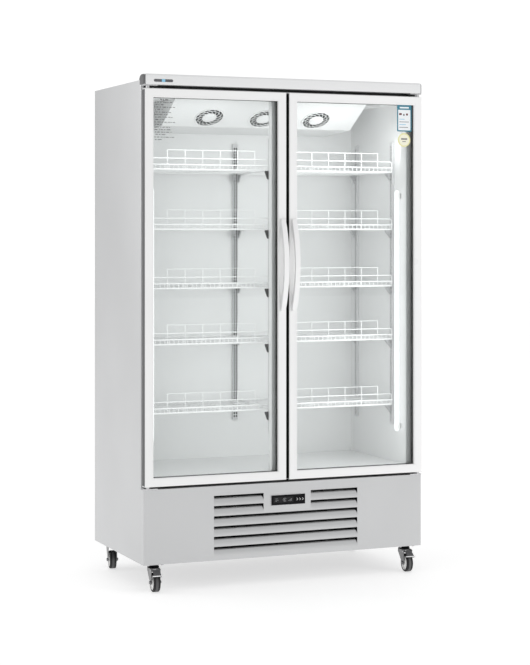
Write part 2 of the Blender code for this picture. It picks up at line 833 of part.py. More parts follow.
def make_evaporator_cover():
    """The sheet-metal cover: a sloping fan face, an underside and two ends, open above."""
    outline = [
        Vector((COVER_FRONT_Y, COVER_TOP_Z)),
        Vector((COVER_KNEE_Y, COVER_KNEE_Z)),
        Vector((COVER_REAR_Y, COVER_REAR_Z)),
        Vector((COVER_REAR_Y, COVER_TOP_Z)),
    ]
    # Moving the outline by this much leaves one sheet's thickness under both faces.
    face = (outline[1] - outline[0]).normalized()
    under = (outline[2] - outline[1]).normalized()
    normals = Matrix(((-face.y, face.x), (-under.y, under.x)))
    shift = normals.inverted() @ Vector((COVER_SHEET, COVER_SHEET))
    rise = Vector((0, COVER_SHEET * 8))
    back = Vector((COVER_SHEET * 8, 0))
    up_slope = -face * COVER_SHEET * 8
    inner = [
        outline[0] + shift + up_slope,
        outline[1] + shift,
        outline[2] + shift + back,
        outline[3] + shift + back + rise,
    ]
    shell = prism(outline, "X", -COVER_HALF, COVER_HALF)
    hollow = prism(inner, "X", -COVER_HALF + COVER_SHEET, COVER_HALF - COVER_SHEET)
    holes = [
        rod(fan_point(x, FAN_SETBACK), fan_point(x, -FAN_SETBACK), FAN_HOLE_RADIUS, 24)
        for x in FAN_X
    ]
    motor_front = FAN_SETBACK + FAN_HUB_LENGTH + FAN_RUNNING_GAP
    motor_rear = motor_front + FAN_MOTOR_LENGTH
    rail = block(
        (-COVER_HALF + OVERLAP, COVER_HALF - OVERLAP),
        (-MOTOR_RAIL_HALF, MOTOR_RAIL_HALF),
        (0, MOTOR_RAIL_THICKNESS),
    )
    tilt = AIR_OUT.to_track_quat("-Z", "Y").to_matrix().to_4x4()
    rail.data.transform(Matrix.Translation(fan_point(0, motor_rear)) @ tilt)
    motors = [
        rod(fan_point(x, motor_front), fan_point(x, motor_rear + SHEET), FAN_MOTOR_RADIUS, 16)
        for x in FAN_X
    ]
    cover = cut_shape([shell], [hollow] + holes)
    part("evaporator_cover", fused([cover, rail] + motors), "liner_white")


def fan_rotor(tip_radius, hub_radius, hub_length, blades):
    """A bladed wheel about +Z, standing on z = 0, with its blades set at a pitch."""
    pieces = [rod((0, 0, 0), (0, 0, hub_length), hub_radius, 16)]
    chord = BLADE_SHARE * math.pi * (tip_radius + hub_radius) / blades
    pitch = math.asin(min(0.9 * hub_length / chord, 0.7))
    for number in range(blades):
        blade = block(
            (hub_radius * 0.8, tip_radius),
            (-chord / 2, chord / 2),
            (-BLADE_THICKNESS / 2, BLADE_THICKNESS / 2),
        )
        # Blade corners are cut back so that the tips run on the tip circle.
        for vert in blade.data.vertices:
            reach = math.hypot(vert.co.x, vert.co.y)
            if reach > tip_radius:
                vert.co.x *= tip_radius / reach
                vert.co.y *= tip_radius / reach
        turn = Matrix.Rotation(math.tau * number / blades, 4, "Z")
        tilt = Matrix.Rotation(pitch, 4, "X")
        blade.data.transform(turn @ Matrix.Translation((0, 0, hub_length / 2)) @ tilt)
        pieces.append(blade)
    return fused(pieces)


def make_evaporator_fans():
    """Three fans just behind the cover's sloping face, each on its own axis."""
    mesh = fan_rotor(FAN_TIP_RADIUS, FAN_HUB_RADIUS, FAN_HUB_LENGTH, FAN_BLADES)
    turn = (-AIR_OUT).to_track_quat("Z", "Y")
    for name, x in zip(FAN_NAMES, FAN_X):
        fan = copy_of(name, mesh, "fan_black", location=fan_point(x, FAN_SETBACK))
        fan.rotation_mode = "QUATERNION"
        fan.rotation_quaternion = turn


def make_evaporator_coil():
    """The finned coil above the cover, with its return bends at both ends."""
    half, low, high, front, rear = 0.360, 1.832, 1.908, 0.060, 0.262
    tube_reach = 0.020
    pieces = [block((-half, half), (front, rear), (low, high))]
    for side in (-1, 1):
        for y in (front + 0.035, front + 0.100, front + 0.165):
            for z in (low + 0.020, high - 0.020):
                start = (side * (half - OVERLAP), y, z)
                end = (side * (half + tube_reach), y, z)
                pieces.append(rod(start, end, TUBE_RADIUS, 8))
    part("evaporator_coil", fused(pieces), "aluminium")


def make_condenser():
    """The finned condenser with its fan shroud and motor, behind the louvers."""
    shroud_y = CONDENSER_FRONT_Y + CONDENSER_DEPTH
    plenum, collar_depth, wall = 0.016, 0.040, 0.004
    strut_half, strut_thickness = 0.010, 0.003
    motor_radius, motor_length = 0.034, 0.060
    centre = Vector((0, 0, CONDENSER_FAN_Z))

    def at(y):
        return centre + Vector((0, y, 0))

    coil = block(
        (-CONDENSER_HALF, CONDENSER_HALF),
        (CONDENSER_FRONT_Y, shroud_y - plenum),
        (CONDENSER_LOW_Z, CONDENSER_HIGH_Z),
    )
    shroud = block(
        (-CONDENSER_HALF, CONDENSER_HALF),
        (shroud_y - plenum - OVERLAP, shroud_y),
        (CONDENSER_LOW_Z, CONDENSER_HIGH_Z),
    )
    collar = rod(at(shroud_y - OVERLAP), at(shroud_y + collar_depth), CONDENSER_FAN_HOLE + wall, 28)
    bore_start = shroud_y - plenum + SHEET
    bore = rod(at(bore_start), at(shroud_y + 2 * collar_depth), CONDENSER_FAN_HOLE, 28)
    strut_y = shroud_y + collar_depth - wall
    reach = CONDENSER_FAN_HOLE + wall / 2
    struts = [
        block(
            (-reach, reach),
            (strut_y - strut_thickness, strut_y),
            (CONDENSER_FAN_Z - strut_half, CONDENSER_FAN_Z + strut_half),
        ),
        block(
            (-strut_half, strut_half),
            (strut_y - strut_thickness, strut_y),
            (CONDENSER_FAN_Z - reach, CONDENSER_FAN_Z + reach),
        ),
    ]
    motor_start = strut_y - strut_thickness - OVERLAP
    motor = rod(at(motor_start), at(strut_y + motor_length), motor_radius, 20)
    tubes = []
    for side in (-1, 1):
        for row in range(4):
            z = CONDENSER_LOW_Z + 0.035 + row * 0.055
            y = CONDENSER_FRONT_Y + 0.020
            start = (side * (CONDENSER_HALF - OVERLAP), y, z)
            end = (side * (CONDENSER_HALF + plenum), y, z)
            tubes.append(rod(start, end, TUBE_RADIUS, 8))
    housing = cut_shape([coil, shroud, collar], [bore])
    part("condenser_coil", fused([housing] + struts + [motor] + tubes), "aluminium", True)

    rotor = fan_rotor(CONDENSER_FAN_TIP, 0.026, 0.022, CONDENSER_FAN_BLADES)
    fan = copy_of("condenser_fan", rotor, "fan_black", location=at(shroud_y + 0.006))
    fan.rotation_euler.x = -math.pi / 2


def make_compressor():
    """The hermetic compressor: a welded can on a plate, with its pipe stubs."""
    foot_z = BASE_Z + 2 * SHEET + GAP
    centre = (COMPRESSOR_X, COMPRESSOR_Y, foot_z)
    radius = COMPRESSOR_RADIUS
    dome = 0.045
    waist = 0.110
    profile = [(0.003, 0.0), (0.003, 0.055)]
    profile += [(0.020, radius), (0.062, radius), (0.064, radius + 0.004), (0.068, radius + 0.004)]
    for step in range(5):
        angle = math.radians(90) * step / 4
        profile.append((waist + dome * math.sin(angle), radius * math.cos(angle) ** 0.8))
    profile[-1] = (waist + dome, 0.0)
    can = turned(profile, "Z", centre, 20)
    plate = block(
        (COMPRESSOR_X - 0.100, COMPRESSOR_X + 0.100),
        (COMPRESSOR_Y - 0.070, COMPRESSOR_Y + 0.070),
        (foot_z, foot_z + 0.004),
    )
    box = block(
        (COMPRESSOR_X - 0.108, COMPRESSOR_X - 0.060),
        (COMPRESSOR_Y - 0.028, COMPRESSOR_Y + 0.028),
        (foot_z + 0.045, foot_z + 0.105),
    )
    stub = rod(
        (COMPRESSOR_X, COMPRESSOR_Y - 0.040, foot_z + 0.080),
        (COMPRESSOR_X, COMPRESSOR_Y - 0.105, foot_z + 0.095),
        0.005,
        8,
    )
    part("compressor", fused([can, plate, box, stub]), "black_enamel", True)


def make_lamps():
    """A tube lamp inside each front corner of the storage space, on two holders."""
    for side_name, side in (("left", -1), ("right", 1)):
        x = side * LAMP_X
        pieces = [rod((x, LAMP_Y, LAMP_LOW_Z), (x, LAMP_Y, LAMP_HIGH_Z), LAMP_RADIUS, 12)]
        for z in (LAMP_LOW_Z + 0.012, LAMP_HIGH_Z - 0.036):
            pieces.append(
                block(
                    (x, side * (CAVITY_HALF - GAP)),
                    (LAMP_Y - LAMP_RADIUS, LAMP_Y + LAMP_RADIUS),
                    (z, z + 0.024),
                )
            )
        part(f"lamp_{side_name}", fused(pieces), "lamp", True)


# --- Doors ---------------------------------------------------------------------------------


def handle_outline():
    """Side view of the bow handle as (Y, Z) points: an outer arc and a shorter inner arc."""
    middle = (HANDLE_LOW_Z + HANDLE_HIGH_Z) / 2
    half = (HANDLE_HIGH_Z - HANDLE_LOW_Z) / 2
    rest = DOOR_FRONT_Y - GAP
    tip = DOOR_FRONT_Y - HANDLE_REACH

    def arc(chord_half, end_y, mid_y, steps, direction):
        depth = end_y - mid_y
        radius = (chord_half**2 + depth**2) / (2 * depth)
        for step in range(steps + 1):
            z = direction * chord_half * (2 * step / steps - 1)
            yield mid_y + radius - math.sqrt(radius**2 - z**2), middle + z

    outer = list(arc(half, DOOR_FRONT_Y - HANDLE_END_REACH, tip, 12, 1))
    inner = list(arc(half - HANDLE_FOOT, rest, tip + HANDLE_GRIP, 10, -1))
    return [(rest, middle - half)] + outer + [(rest, middle + half)] + inner


def make_doors():
    """Two glazed doors, each on a vertical pivot near its outer edge."""
    for side_name, side in (("left", -1), ("right", 1)):
        swing = pivot(f"door_{side_name}_pivot", (side * HINGE_X, HINGE_Y, 0))
        make_door(side_name, side, swing)


def make_door(side_name, side, swing):
    origin = swing.location

    def across(inner, outer):
        return side * inner, side * outer

    sight_x = (DOOR_INNER_X + STILE, DOOR_OUTER_X - STILE)
    sight_z = (DOOR_LOW_Z + STILE, DOOR_HIGH_Z - STILE)
    seat_x = (sight_x[0] - GLASS_BITE, sight_x[1] + GLASS_BITE)
    seat_z = (sight_z[0] - GLASS_BITE, sight_z[1] + GLASS_BITE)
    glass_front = DOOR_FRONT_Y + GLASS_RECESS

    slab = block(
        across(DOOR_INNER_X, DOOR_OUTER_X), (DOOR_FRONT_Y, DOOR_REAR_Y), (DOOR_LOW_Z, DOOR_HIGH_Z)
    )
    cuts = [
        block(across(*sight_x), (DOOR_FRONT_Y - SHEET, glass_front + OVERLAP), sight_z),
        block(across(*seat_x), (glass_front, DOOR_REAR_Y + SHEET), seat_z),
    ]
    for z, away in ((DOOR_LOW_Z, -1), (DOOR_HIGH_Z, 1)):
        mouth = (side * HINGE_X, HINGE_Y, z + away * SHEET)
        end = (side * HINGE_X, HINGE_Y, z - away * (HINGE_PIN_DEPTH + GAP))
        cuts.append(rod(mouth, end, HINGE_PIN_RADIUS + GAP, 16))
    frame = fused([slab], cuts)
    place = {"origin": origin, "pivot": swing}
    under_pivot(part(f"door_frame_{side_name}", frame, "white_enamel", **place))

    pane = block(
        across(seat_x[0] + GAP, seat_x[1] - GAP),
        (glass_front + GAP, DOOR_REAR_Y - GAP),
        (seat_z[0] + GAP, seat_z[1] - GAP),
    )
    under_pivot(part(f"door_glass_{side_name}", fused([pane]), "glass", **place))

    seal = block(
        across(DOOR_INNER_X + GASKET_EDGE, DOOR_OUTER_X - GASKET_HINGE_EDGE),
        (DOOR_REAR_Y + GAP, DOOR_REAR_Y + GASKET_DEPTH),
        (DOOR_LOW_Z + GASKET_EDGE, DOOR_HIGH_Z - GASKET_EDGE),
    )
    opening = block(
        across(sight_x[0] - GASKET_SHY, sight_x[1] + GASKET_SHY),
        (DOOR_REAR_Y - SHEET, DOOR_REAR_Y + 2 * GASKET_DEPTH),
        (sight_z[0] - GASKET_SHY, sight_z[1] + GASKET_SHY),
    )
    under_pivot(part(f"door_gasket_{side_name}", fused([seal], [opening]), "gasket", **place))

    half_width = HANDLE_WIDTH / 2
    centre_x = side * HANDLE_X
    bow = prism(handle_outline(), "X", centre_x - half_width, centre_x + half_width)
    under_pivot(part(f"door_handle_{side_name}", fused([bow]), "white_enamel", True, **place))


def under_pivot(obj):
    """The origin was given in the scene's frame, and under its pivot the place is zero."""
    obj.location = (0, 0, 0)


def make_hinge_brackets():
    """A plate with a pin above and below each door, standing in the gaps there."""
    rear = CABINET_FRONT_Y - GAP
    places = (
        ("top", CANOPY_LOW_Z - GAP, -1, DOOR_HIGH_Z),
        ("bottom", BASE_TOP_Z + GAP, 1, DOOR_LOW_Z),
    )
    for side_name, side in (("left", -1), ("right", 1)):
        for level_name, seat_z, towards, door_z in places:
            plate_z = seat_z + towards * HINGE_PLATE
            axis_x = side * HINGE_X
            plate = block(
                (side * HINGE_PLATE_INNER_X, side * (DOOR_OUTER_X - GAP)),
                (DOOR_FRONT_Y + 0.002, rear),
                (seat_z, plate_z),
            )
            washer = rod(
                (axis_x, HINGE_Y, plate_z - towards * OVERLAP),
                (axis_x, HINGE_Y, door_z - towards * GAP),
                0.007,
                16,
            )
            pin = rod(
                (axis_x, HINGE_Y, plate_z - towards * OVERLAP),
                (axis_x, HINGE_Y, door_z + towards * (HINGE_PIN_DEPTH - GAP)),
                HINGE_PIN_RADIUS,
                16,
            )
            name = f"hinge_bracket_{level_name}_{side_name}"
            part(name, fused([plate, washer, pin]), "zinc", True)


# --- Casters -------------------------------------------------------------------------------
# A caster is drawn about its swivel axis with its wheel trailing along -Y, and then turned.


def fork_mesh():
    """Swivel race, crown, two legs and the axle bolt, as one welded piece."""
    race = rod((0, 0, CROWN_Z), (0, 0, FORK_TOP_Z), RACE_RADIUS, 20)
    outer = LEG_INNER + LEG_THICKNESS
    crown = block(
        (-outer, outer),
        (-PEDAL_REACH + 0.005, FORK_HEEL),
        (CROWN_Z - CROWN_THICKNESS, CROWN_Z + LEG_THICKNESS),
    )
    shoulder_z = CROWN_Z - FORK_SHOULDER
    outline = [
        (FORK_HEEL, CROWN_Z),
        (-PEDAL_REACH - AXLE_BOSS / 2, CROWN_Z),
        (-PEDAL_REACH - AXLE_BOSS / 2, shoulder_z),
        (-CASTER_TRAIL - AXLE_BOSS, AXLE_Z),
        (-CASTER_TRAIL, AXLE_Z - AXLE_BOSS),
        (-CASTER_TRAIL + AXLE_BOSS, AXLE_Z),
        (FORK_HEEL, shoulder_z),
    ]
    legs = [prism(outline, "X", side * LEG_INNER, side * outer) for side in (-1, 1)]
    axle = rod(
        (-outer - NUT_HEIGHT, -CASTER_TRAIL, AXLE_Z),
        (outer + NUT_HEIGHT, -CASTER_TRAIL, AXLE_Z),
        AXLE_RADIUS,
        12,
    )
    pin_hole = rod(
        (-2 * outer, -PEDAL_REACH, PEDAL_Z),
        (2 * outer, -PEDAL_REACH, PEDAL_Z),
        PEDAL_PIN_RADIUS + GAP,
        12,
    )
    return fused([race, crown] + legs + [axle], [pin_hole])


def wheel_mesh():
    """Tyre and hub as one turned piece about the axle, with a running bore."""
    half = WHEEL_WIDTH / 2
    bore = AXLE_RADIUS + GAP
    right = [
        (half - 0.0008, bore),
        (half - 0.0008, 0.011),
        (half - 0.004, 0.012),
        (half - 0.004, 0.024),
        (half, 0.027),
        (half, WHEEL_RADIUS - 0.005),
        (half - 0.005, WHEEL_RADIUS),
    ]
    profile = [(-x, radius) for x, radius in right] + right[::-1]
    half_side = math.pi / WHEEL_SIDES
    return fused([turned(profile, "X", (0, 0, 0), WHEEL_SIDES, half_side)])


def pedal_mesh():
    """Brake pedal about its pin: a sloping tread with a front lip and two side arms."""
    half, length, drop, thickness = 0.0145, 0.036, 0.018, 0.002
    top, tread_start, lip_half, lip_height, pin_half = 0.0045, -0.006, 0.021, 0.007, 0.022
    tread = [
        (tread_start, top),
        (-length, top - drop),
        (-length, top - drop - thickness),
        (tread_start, top - thickness),
    ]
    lip = [
        (-length + thickness / 2, top - drop),
        (-length - thickness / 2, top - drop),
        (-length - thickness / 2, top - drop - lip_height),
        (-length + thickness / 2, top - drop - lip_height),
    ]
    arm = [(0.004, -0.003), (0.004, top), (-0.008, top), (-0.014, -0.002), (-0.008, -0.004)]
    pieces = [
        prism(tread, "X", -half, half),
        prism(lip, "X", -lip_half, lip_half),
        prism(arm, "X", -half, -half + thickness),
        prism(arm, "X", half - thickness, half),
        rod((-pin_half, 0, 0), (pin_half, 0, 0), PEDAL_PIN_RADIUS, 12),
    ]
    return fused(pieces)


def make_casters():
    """Four swivel casters; the two at the front have a brake pedal."""
    fork = fork_mesh()
    wheel = wheel_mesh()
    pedal = pedal_mesh()
    for name, x, y, turn in CASTERS:
        swivel = pivot(f"caster_{name}_pivot", (x, y, 0), turn)
        copy_of(f"caster_fork_{name}", fork, "zinc", True, pivot=swivel)
        axle = (0, -CASTER_TRAIL, AXLE_Z)
        copy_of(f"caster_wheel_{name}", wheel, "tyre", True, axle, swivel)
        if name.startswith("front"):
            pin = (0, -PEDAL_REACH, PEDAL_Z)
            copy_of(f"brake_pedal_{name}", pedal, "zinc", False, pin, swivel)


def main():
    clear_scene()
    make_side_panels()
    make_back_panel()
    make_roof_panel()
    make_base_pan()
    make_insulated_liner()
    make_center_mullion()
    make_wall_standards()
    make_center_standard()
    make_header_canopy()
    make_louver_panel()
    make_controller()
    make_shelves()
    make_evaporator_cover()
    make_evaporator_fans()
    make_evaporator_coil()
    make_condenser()
    make_compressor()
    make_lamps()
    make_doors()
    make_hinge_brackets()
    make_casters()


main()
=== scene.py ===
"""Looks of a two-door glass-front merchandiser refrigerator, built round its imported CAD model.

Metres, +Z up, the doors face -Y. Pieces are placed from the CAD nodes' own boxes.
"""

import json
import math

import bmesh
import bpy
from mathutils import Matrix, Vector


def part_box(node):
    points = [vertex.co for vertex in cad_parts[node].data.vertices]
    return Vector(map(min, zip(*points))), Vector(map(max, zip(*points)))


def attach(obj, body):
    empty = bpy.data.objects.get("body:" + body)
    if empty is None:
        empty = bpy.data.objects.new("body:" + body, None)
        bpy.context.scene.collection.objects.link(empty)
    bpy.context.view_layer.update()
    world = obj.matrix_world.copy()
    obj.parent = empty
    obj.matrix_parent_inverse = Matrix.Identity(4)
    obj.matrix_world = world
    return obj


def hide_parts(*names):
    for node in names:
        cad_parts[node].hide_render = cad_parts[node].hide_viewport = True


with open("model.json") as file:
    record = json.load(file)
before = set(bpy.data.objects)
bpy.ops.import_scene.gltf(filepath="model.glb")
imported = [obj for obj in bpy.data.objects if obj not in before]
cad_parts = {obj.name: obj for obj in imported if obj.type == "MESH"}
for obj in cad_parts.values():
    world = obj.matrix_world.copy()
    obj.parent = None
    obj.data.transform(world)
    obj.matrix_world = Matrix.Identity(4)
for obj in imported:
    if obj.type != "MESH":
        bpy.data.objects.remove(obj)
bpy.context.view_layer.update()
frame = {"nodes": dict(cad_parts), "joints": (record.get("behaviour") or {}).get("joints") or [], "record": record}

SIDES = (("left", -1), ("right", 1))
FRONT_PLACE = Matrix(((1, 0, 0, 0), (0, 0, 1, 0), (0, 1, 0, 0), (0, 0, 0, 1)))
SHELF_NUMBERS = range(1, 6)
SLOT_OF = {part["node"]: part["material_slot"] for part in frame["record"]["subparts"]}
JOINTS = {joint["name"]: joint for joint in frame["joints"]}


# --- Materials -----------------------------------------------------------------------------


def set_inputs(node, **values):
    """Sets plain values on a node's own sockets."""
    for socket, value in values.items():
        node.inputs[socket.replace("_", " ")].default_value = value
    return node


def shader_of(name, rough, metallic=0.0, **sockets):
    """A Principled material and its nodes, with its plain values set on the shader's own sockets."""
    made = bpy.data.materials.new(name)
    made.use_nodes = True
    shader = made.node_tree.nodes["Principled BSDF"]
    set_inputs(shader, Roughness=rough, Metallic=metallic, **sockets)
    return made, made.node_tree, shader


def noise(tree, scale, stretch=(1, 1, 1), detail=3.0, rough=0.5):
    """A noise texture over the object's own coordinates, stretched along an axis."""
    coords = tree.nodes.new("ShaderNodeTexCoord")
    mapping = set_inputs(tree.nodes.new("ShaderNodeMapping"), Scale=stretch)
    texture = tree.nodes.new("ShaderNodeTexNoise")
    set_inputs(texture, Scale=scale, Detail=detail, Roughness=rough)
    tree.links.new(coords.outputs["Object"], mapping.inputs["Vector"])
    tree.links.new(mapping.outputs["Vector"], texture.inputs["Vector"])
    return texture.outputs["Fac"]


def ramp(tree, factor, low, high, dark, light):
    """A colour that runs from dark to light as the factor runs from low to high."""
    made = tree.nodes.new("ShaderNodeValToRGB")
    for element, position, colour in zip(made.color_ramp.elements, (low, high), (dark, light)):
        element.position = position
        element.color = (*colour, 1)
    tree.links.new(factor, made.inputs["Fac"])
    return made.outputs["Color"]


def spread(tree, factor, low, high):
    """A number that runs from low to high with a factor between 0.3 and 0.7."""
    made = tree.nodes.new("ShaderNodeMapRange")
    set_inputs(made, From_Min=0.3, From_Max=0.7, To_Min=low, To_Max=high)
    tree.links.new(factor, made.inputs["Value"])
    return made.outputs["Result"]


def bump(tree, shader, height, strength, distance):
    made = set_inputs(tree.nodes.new("ShaderNodeBump"), Strength=strength, Distance=distance)
    tree.links.new(height, made.inputs["Height"])
    tree.links.new(made.outputs["Normal"], shader.inputs["Normal"])


def shade(colour, factor):
    return tuple(channel * factor for channel in colour)


def sheet_metal(name, colour, rough, metallic, grain, grain_share=0.03):
    """Brushed sheet: fine grain lines along one axis over slow, faint clouding."""
    made, tree, shader = shader_of(name, rough, metallic)
    lines = noise(tree, 60.0, grain, detail=4.0)
    clouds = noise(tree, 2.2, detail=2.0)
    base = ramp(tree, clouds, 0.3, 0.7, shade(colour, 1 - grain_share), shade(colour, 1 + grain_share))
    tree.links.new(base, shader.inputs["Base Color"])
    tree.links.new(spread(tree, lines, rough - 0.05, rough + 0.06), shader.inputs["Roughness"])
    bump(tree, shader, lines, 0.05, 0.0002)
    return made


def painted(name, colour, rough, peel=0.00008, scale=350.0, shift=0.015, **sockets):
    """Paint, enamel or moulded plastic: a fine surface ripple and a faint drift of colour."""
    made, tree, shader = shader_of(name, rough, **sockets)
    ripple = noise(tree, scale, detail=2.0)
    drift = noise(tree, 3.0, detail=2.0)
    base = ramp(tree, drift, 0.3, 0.7, shade(colour, 1 - shift), shade(colour, 1 + shift))
    tree.links.new(base, shader.inputs["Base Color"])
    tree.links.new(spread(tree, drift, rough - 0.03, rough + 0.03), shader.inputs["Roughness"])
    bump(tree, shader, ripple, 0.25, peel)
    return made


def zinc_plate(name, colour, rough):
    """Bright zinc with the soft, cloudy spangle that plating leaves."""
    made, tree, shader = shader_of(name, rough, 1.0)
    spangle = noise(tree, 120.0, detail=3.0)
    base = ramp(tree, spangle, 0.35, 0.65, shade(colour, 0.86), shade(colour, 1.08))
    tree.links.new(base, shader.inputs["Base Color"])
    tree.links.new(spread(tree, spangle, rough - 0.07, rough + 0.1), shader.inputs["Roughness"])
    bump(tree, shader, spangle, 0.08, 0.0002)
    return made


def rubber(name, colour, rough, scale):
    """Matt rubber with a fine moulded grain and slight scuffing."""
    made, tree, shader = shader_of(name, rough)
    grain = noise(tree, scale, detail=5.0, rough=0.7)
    scuff = noise(tree, 25.0, detail=4.0)
    base = ramp(tree, scuff, 0.35, 0.75, colour, shade(colour, 1.7))
    tree.links.new(base, shader.inputs["Base Color"])
    tree.links.new(spread(tree, scuff, rough - 0.08, rough + 0.08), shader.inputs["Roughness"])
    bump(tree, shader, grain, 0.3, 0.0003)
    return made


def clear_glass(name, tint, mirror_share):
    """Window glass as thin panes: what is behind shows straight through, and the faces mirror."""
    made = bpy.data.materials.new(name)
    made.use_nodes = True
    tree = made.node_tree
    tree.nodes.clear()
    output = tree.nodes.new("ShaderNodeOutputMaterial")
    through = set_inputs(tree.nodes.new("ShaderNodeBsdfTransparent"), Color=(*tint, 1))
    mirror = set_inputs(tree.nodes.new("ShaderNodeBsdfGlossy"), Roughness=0.015)
    fresnel = set_inputs(tree.nodes.new("ShaderNodeFresnel"), IOR=1.45)
    less = tree.nodes.new("ShaderNodeMath")
    less.operation = "MULTIPLY"
    less.inputs[1].default_value = mirror_share
    mix = tree.nodes.new("ShaderNodeMixShader")
    tree.links.new(fresnel.outputs["Fac"], less.inputs[0])
    tree.links.new(less.outputs["Value"], mix.inputs["Fac"])
    tree.links.new(through.outputs["BSDF"], mix.inputs[1])
    tree.links.new(mirror.outputs["BSDF"], mix.inputs[2])
    tree.links.new(mix.outputs["Shader"], output.inputs["Surface"])
    return made


def finned(name, colour, rough, pitch):
    """Packed aluminium fins as stripes across X: bright edges with fine dark stripes between them, painted shade
    for the gaps between the fins.
    """
    made, tree, shader = shader_of(name, rough, 0.9)
    coords = tree.nodes.new("ShaderNodeTexCoord")
    gap_shade_wave = tree.nodes.new("ShaderNodeTexWave")
    set_inputs(gap_shade_wave, Scale=math.tau / (20 * pitch), Distortion=0.4)
    tree.links.new(coords.outputs["Object"], gap_shade_wave.inputs["Vector"])
    # The dark end of the ramp is painted shade in the gaps between the fins.
    base = ramp(tree, gap_shade_wave.outputs["Fac"], 0.25, 0.6, shade(colour, 0.25), colour)
    tree.links.new(base, shader.inputs["Base Color"])
    bump(tree, shader, gap_shade_wave.outputs["Fac"], 0.6, 0.001)
    return made


LIGHT_GREY = (0.60, 0.605, 0.61)
MATERIALS = {
    "stainless_panel": sheet_metal("stainless_panel", LIGHT_GREY, 0.36, 0.75, (30, 30, 0.6)),
    "galvanised_sheet": sheet_metal("galvanised_sheet", (0.46, 0.47, 0.48), 0.5, 0.85, (2, 2, 2), 0.10),
    "liner_white": painted("liner_white", (0.84, 0.843, 0.845), 0.32),
    "white_enamel": painted("white_enamel", (0.89, 0.89, 0.89), 0.30),
    "zinc_hardware": zinc_plate("zinc_hardware", (0.66, 0.66, 0.67), 0.30),
    "shelf_wire": painted("shelf_wire", (0.93, 0.93, 0.935), 0.28),
    "glass": clear_glass("glass", (0.985, 0.992, 0.99), 0.55),
    "gasket": rubber("gasket", (0.05, 0.05, 0.053), 0.55, 500.0),
    "controller_black": painted("controller_black", (0.004, 0.004, 0.005), 0.40, Specular_IOR_Level=0.12),
    "button_grey": painted("button_grey", (0.50, 0.51, 0.52), 0.45),
    "fan_black": painted("fan_black", (0.02, 0.02, 0.02), 0.42),
    "lamp": painted("lamp", (0.90, 0.91, 0.92), 0.25, Emission_Color=(1, 1, 1, 1), Emission_Strength=0.35),
    "fin_aluminium": finned("fin_aluminium", (0.70, 0.71, 0.72), 0.35, 0.004),
    "compressor_black": painted("compressor_black", (0.012, 0.012, 0.013), 0.30, 0.0002, 120.0),
    "tyre": rubber("tyre", (0.007, 0.007, 0.0075), 0.62, 600.0),
}
SPACER = painted("spacer_black", (0.006, 0.006, 0.006), 0.5)
HUB_WHITE = painted("hub_white", (0.85, 0.85, 0.84), 0.40)
TREAD_GREY = rubber("tread_grey", (0.070, 0.070, 0.072), 0.55, 400.0)
FORK_ZINC = zinc_plate("fork_zinc", (0.24, 0.24, 0.245), 0.34)
CANOPY_SHEET = sheet_metal("canopy_sheet", (0.86, 0.865, 0.87), 0.38, 0.25, (0.6, 30, 30))
# Dark grey for the canopy's side-facing ends: painted shade.
END_SHADE_GREY = painted("end_shade_grey", (0.13, 0.13, 0.135), 0.5)
# Dark grey for the brake pedals' own colour, and painted shade down the doors' hinge-side gaps.
PEDAL_AND_GAP_SHADE_GREY = painted("pedal_and_gap_shade_grey", (0.10, 0.10, 0.105), 0.6)
PALE_STEEL = sheet_metal("pale_steel", (0.72, 0.72, 0.73), 0.40, 0.35, (2, 2, 2), 0.05)
# Near-black fins for the condenser coil: painted shade for the dark inside of the base behind the louvers.
SHADE_BLACK_FINS = finned("shade_black_fins", (0.030, 0.030, 0.032), 0.5, 0.004)
DARK_PAN = sheet_metal("dark_pan", (0.10, 0.10, 0.105), 0.6, 0.4, (2, 2, 2), 0.10)
SHADOW_LINE = painted("shadow_line", (0.004, 0.004, 0.004), 0.9)


# --- Shape tools ---------------------------------------------------------------------------


def mesh_of(name, bm, material, sharp):
    """Turns a bmesh into a shaded mesh whose edges stay sharp past an angle in degrees."""
    bmesh.ops.recalc_face_normals(bm, faces=bm.faces)
    mesh = bpy.data.meshes.new(name)
    bm.to_mesh(mesh)
    bm.free()
    mesh.materials.append(material)
    mesh.shade_smooth()
    mesh.set_sharp_from_angle(angle=math.radians(sharp))
    return mesh


def piece(name, bm, material, body, replaced=(), slot=None, sharp=35.0):
    """Turns a bmesh into a shaded piece that rides on a body and stands for the nodes given."""
    return placed(name, mesh_of(name, bm, material, sharp), body, replaced, slot)


def placed(name, mesh, body, replaced=(), slot=None, location=(0, 0, 0)):
    obj = in_scene(name, mesh)
    obj.location = location
    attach(obj, body)
    if replaced:
        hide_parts(*replaced)
    if slot or replaced:
        slot or SLOT_OF[replaced[0]]
    return obj


def in_scene(name, data):
    obj = bpy.data.objects.new(name, data)
    bpy.context.scene.collection.objects.link(obj)
    return obj


def add_box(bm, low, high, radius=0.0, segments=2):
    """A box between two corners, with every edge rounded."""
    low, high = Vector(low), Vector(high)
    made = bmesh.ops.create_cube(bm, size=1.0)["verts"]
    for vert in made:
        vert.co = Vector(low[i] if vert.co[i] < 0 else high[i] for i in range(3))
    if radius:
        edges = list({edge for vert in made for edge in vert.link_edges})
        bmesh.ops.bevel(bm, geom=edges, offset=radius, segments=segments, profile=0.5, affect="EDGES")


def turned_box(bm, place, low, high, radius=0.0, segments=2):
    """A rounded box drawn in a frame of its own and then put in place."""
    before = set(bm.verts)
    add_box(bm, low, high, radius, segments)
    for vert in set(bm.verts) - before:
        vert.co = place @ vert.co


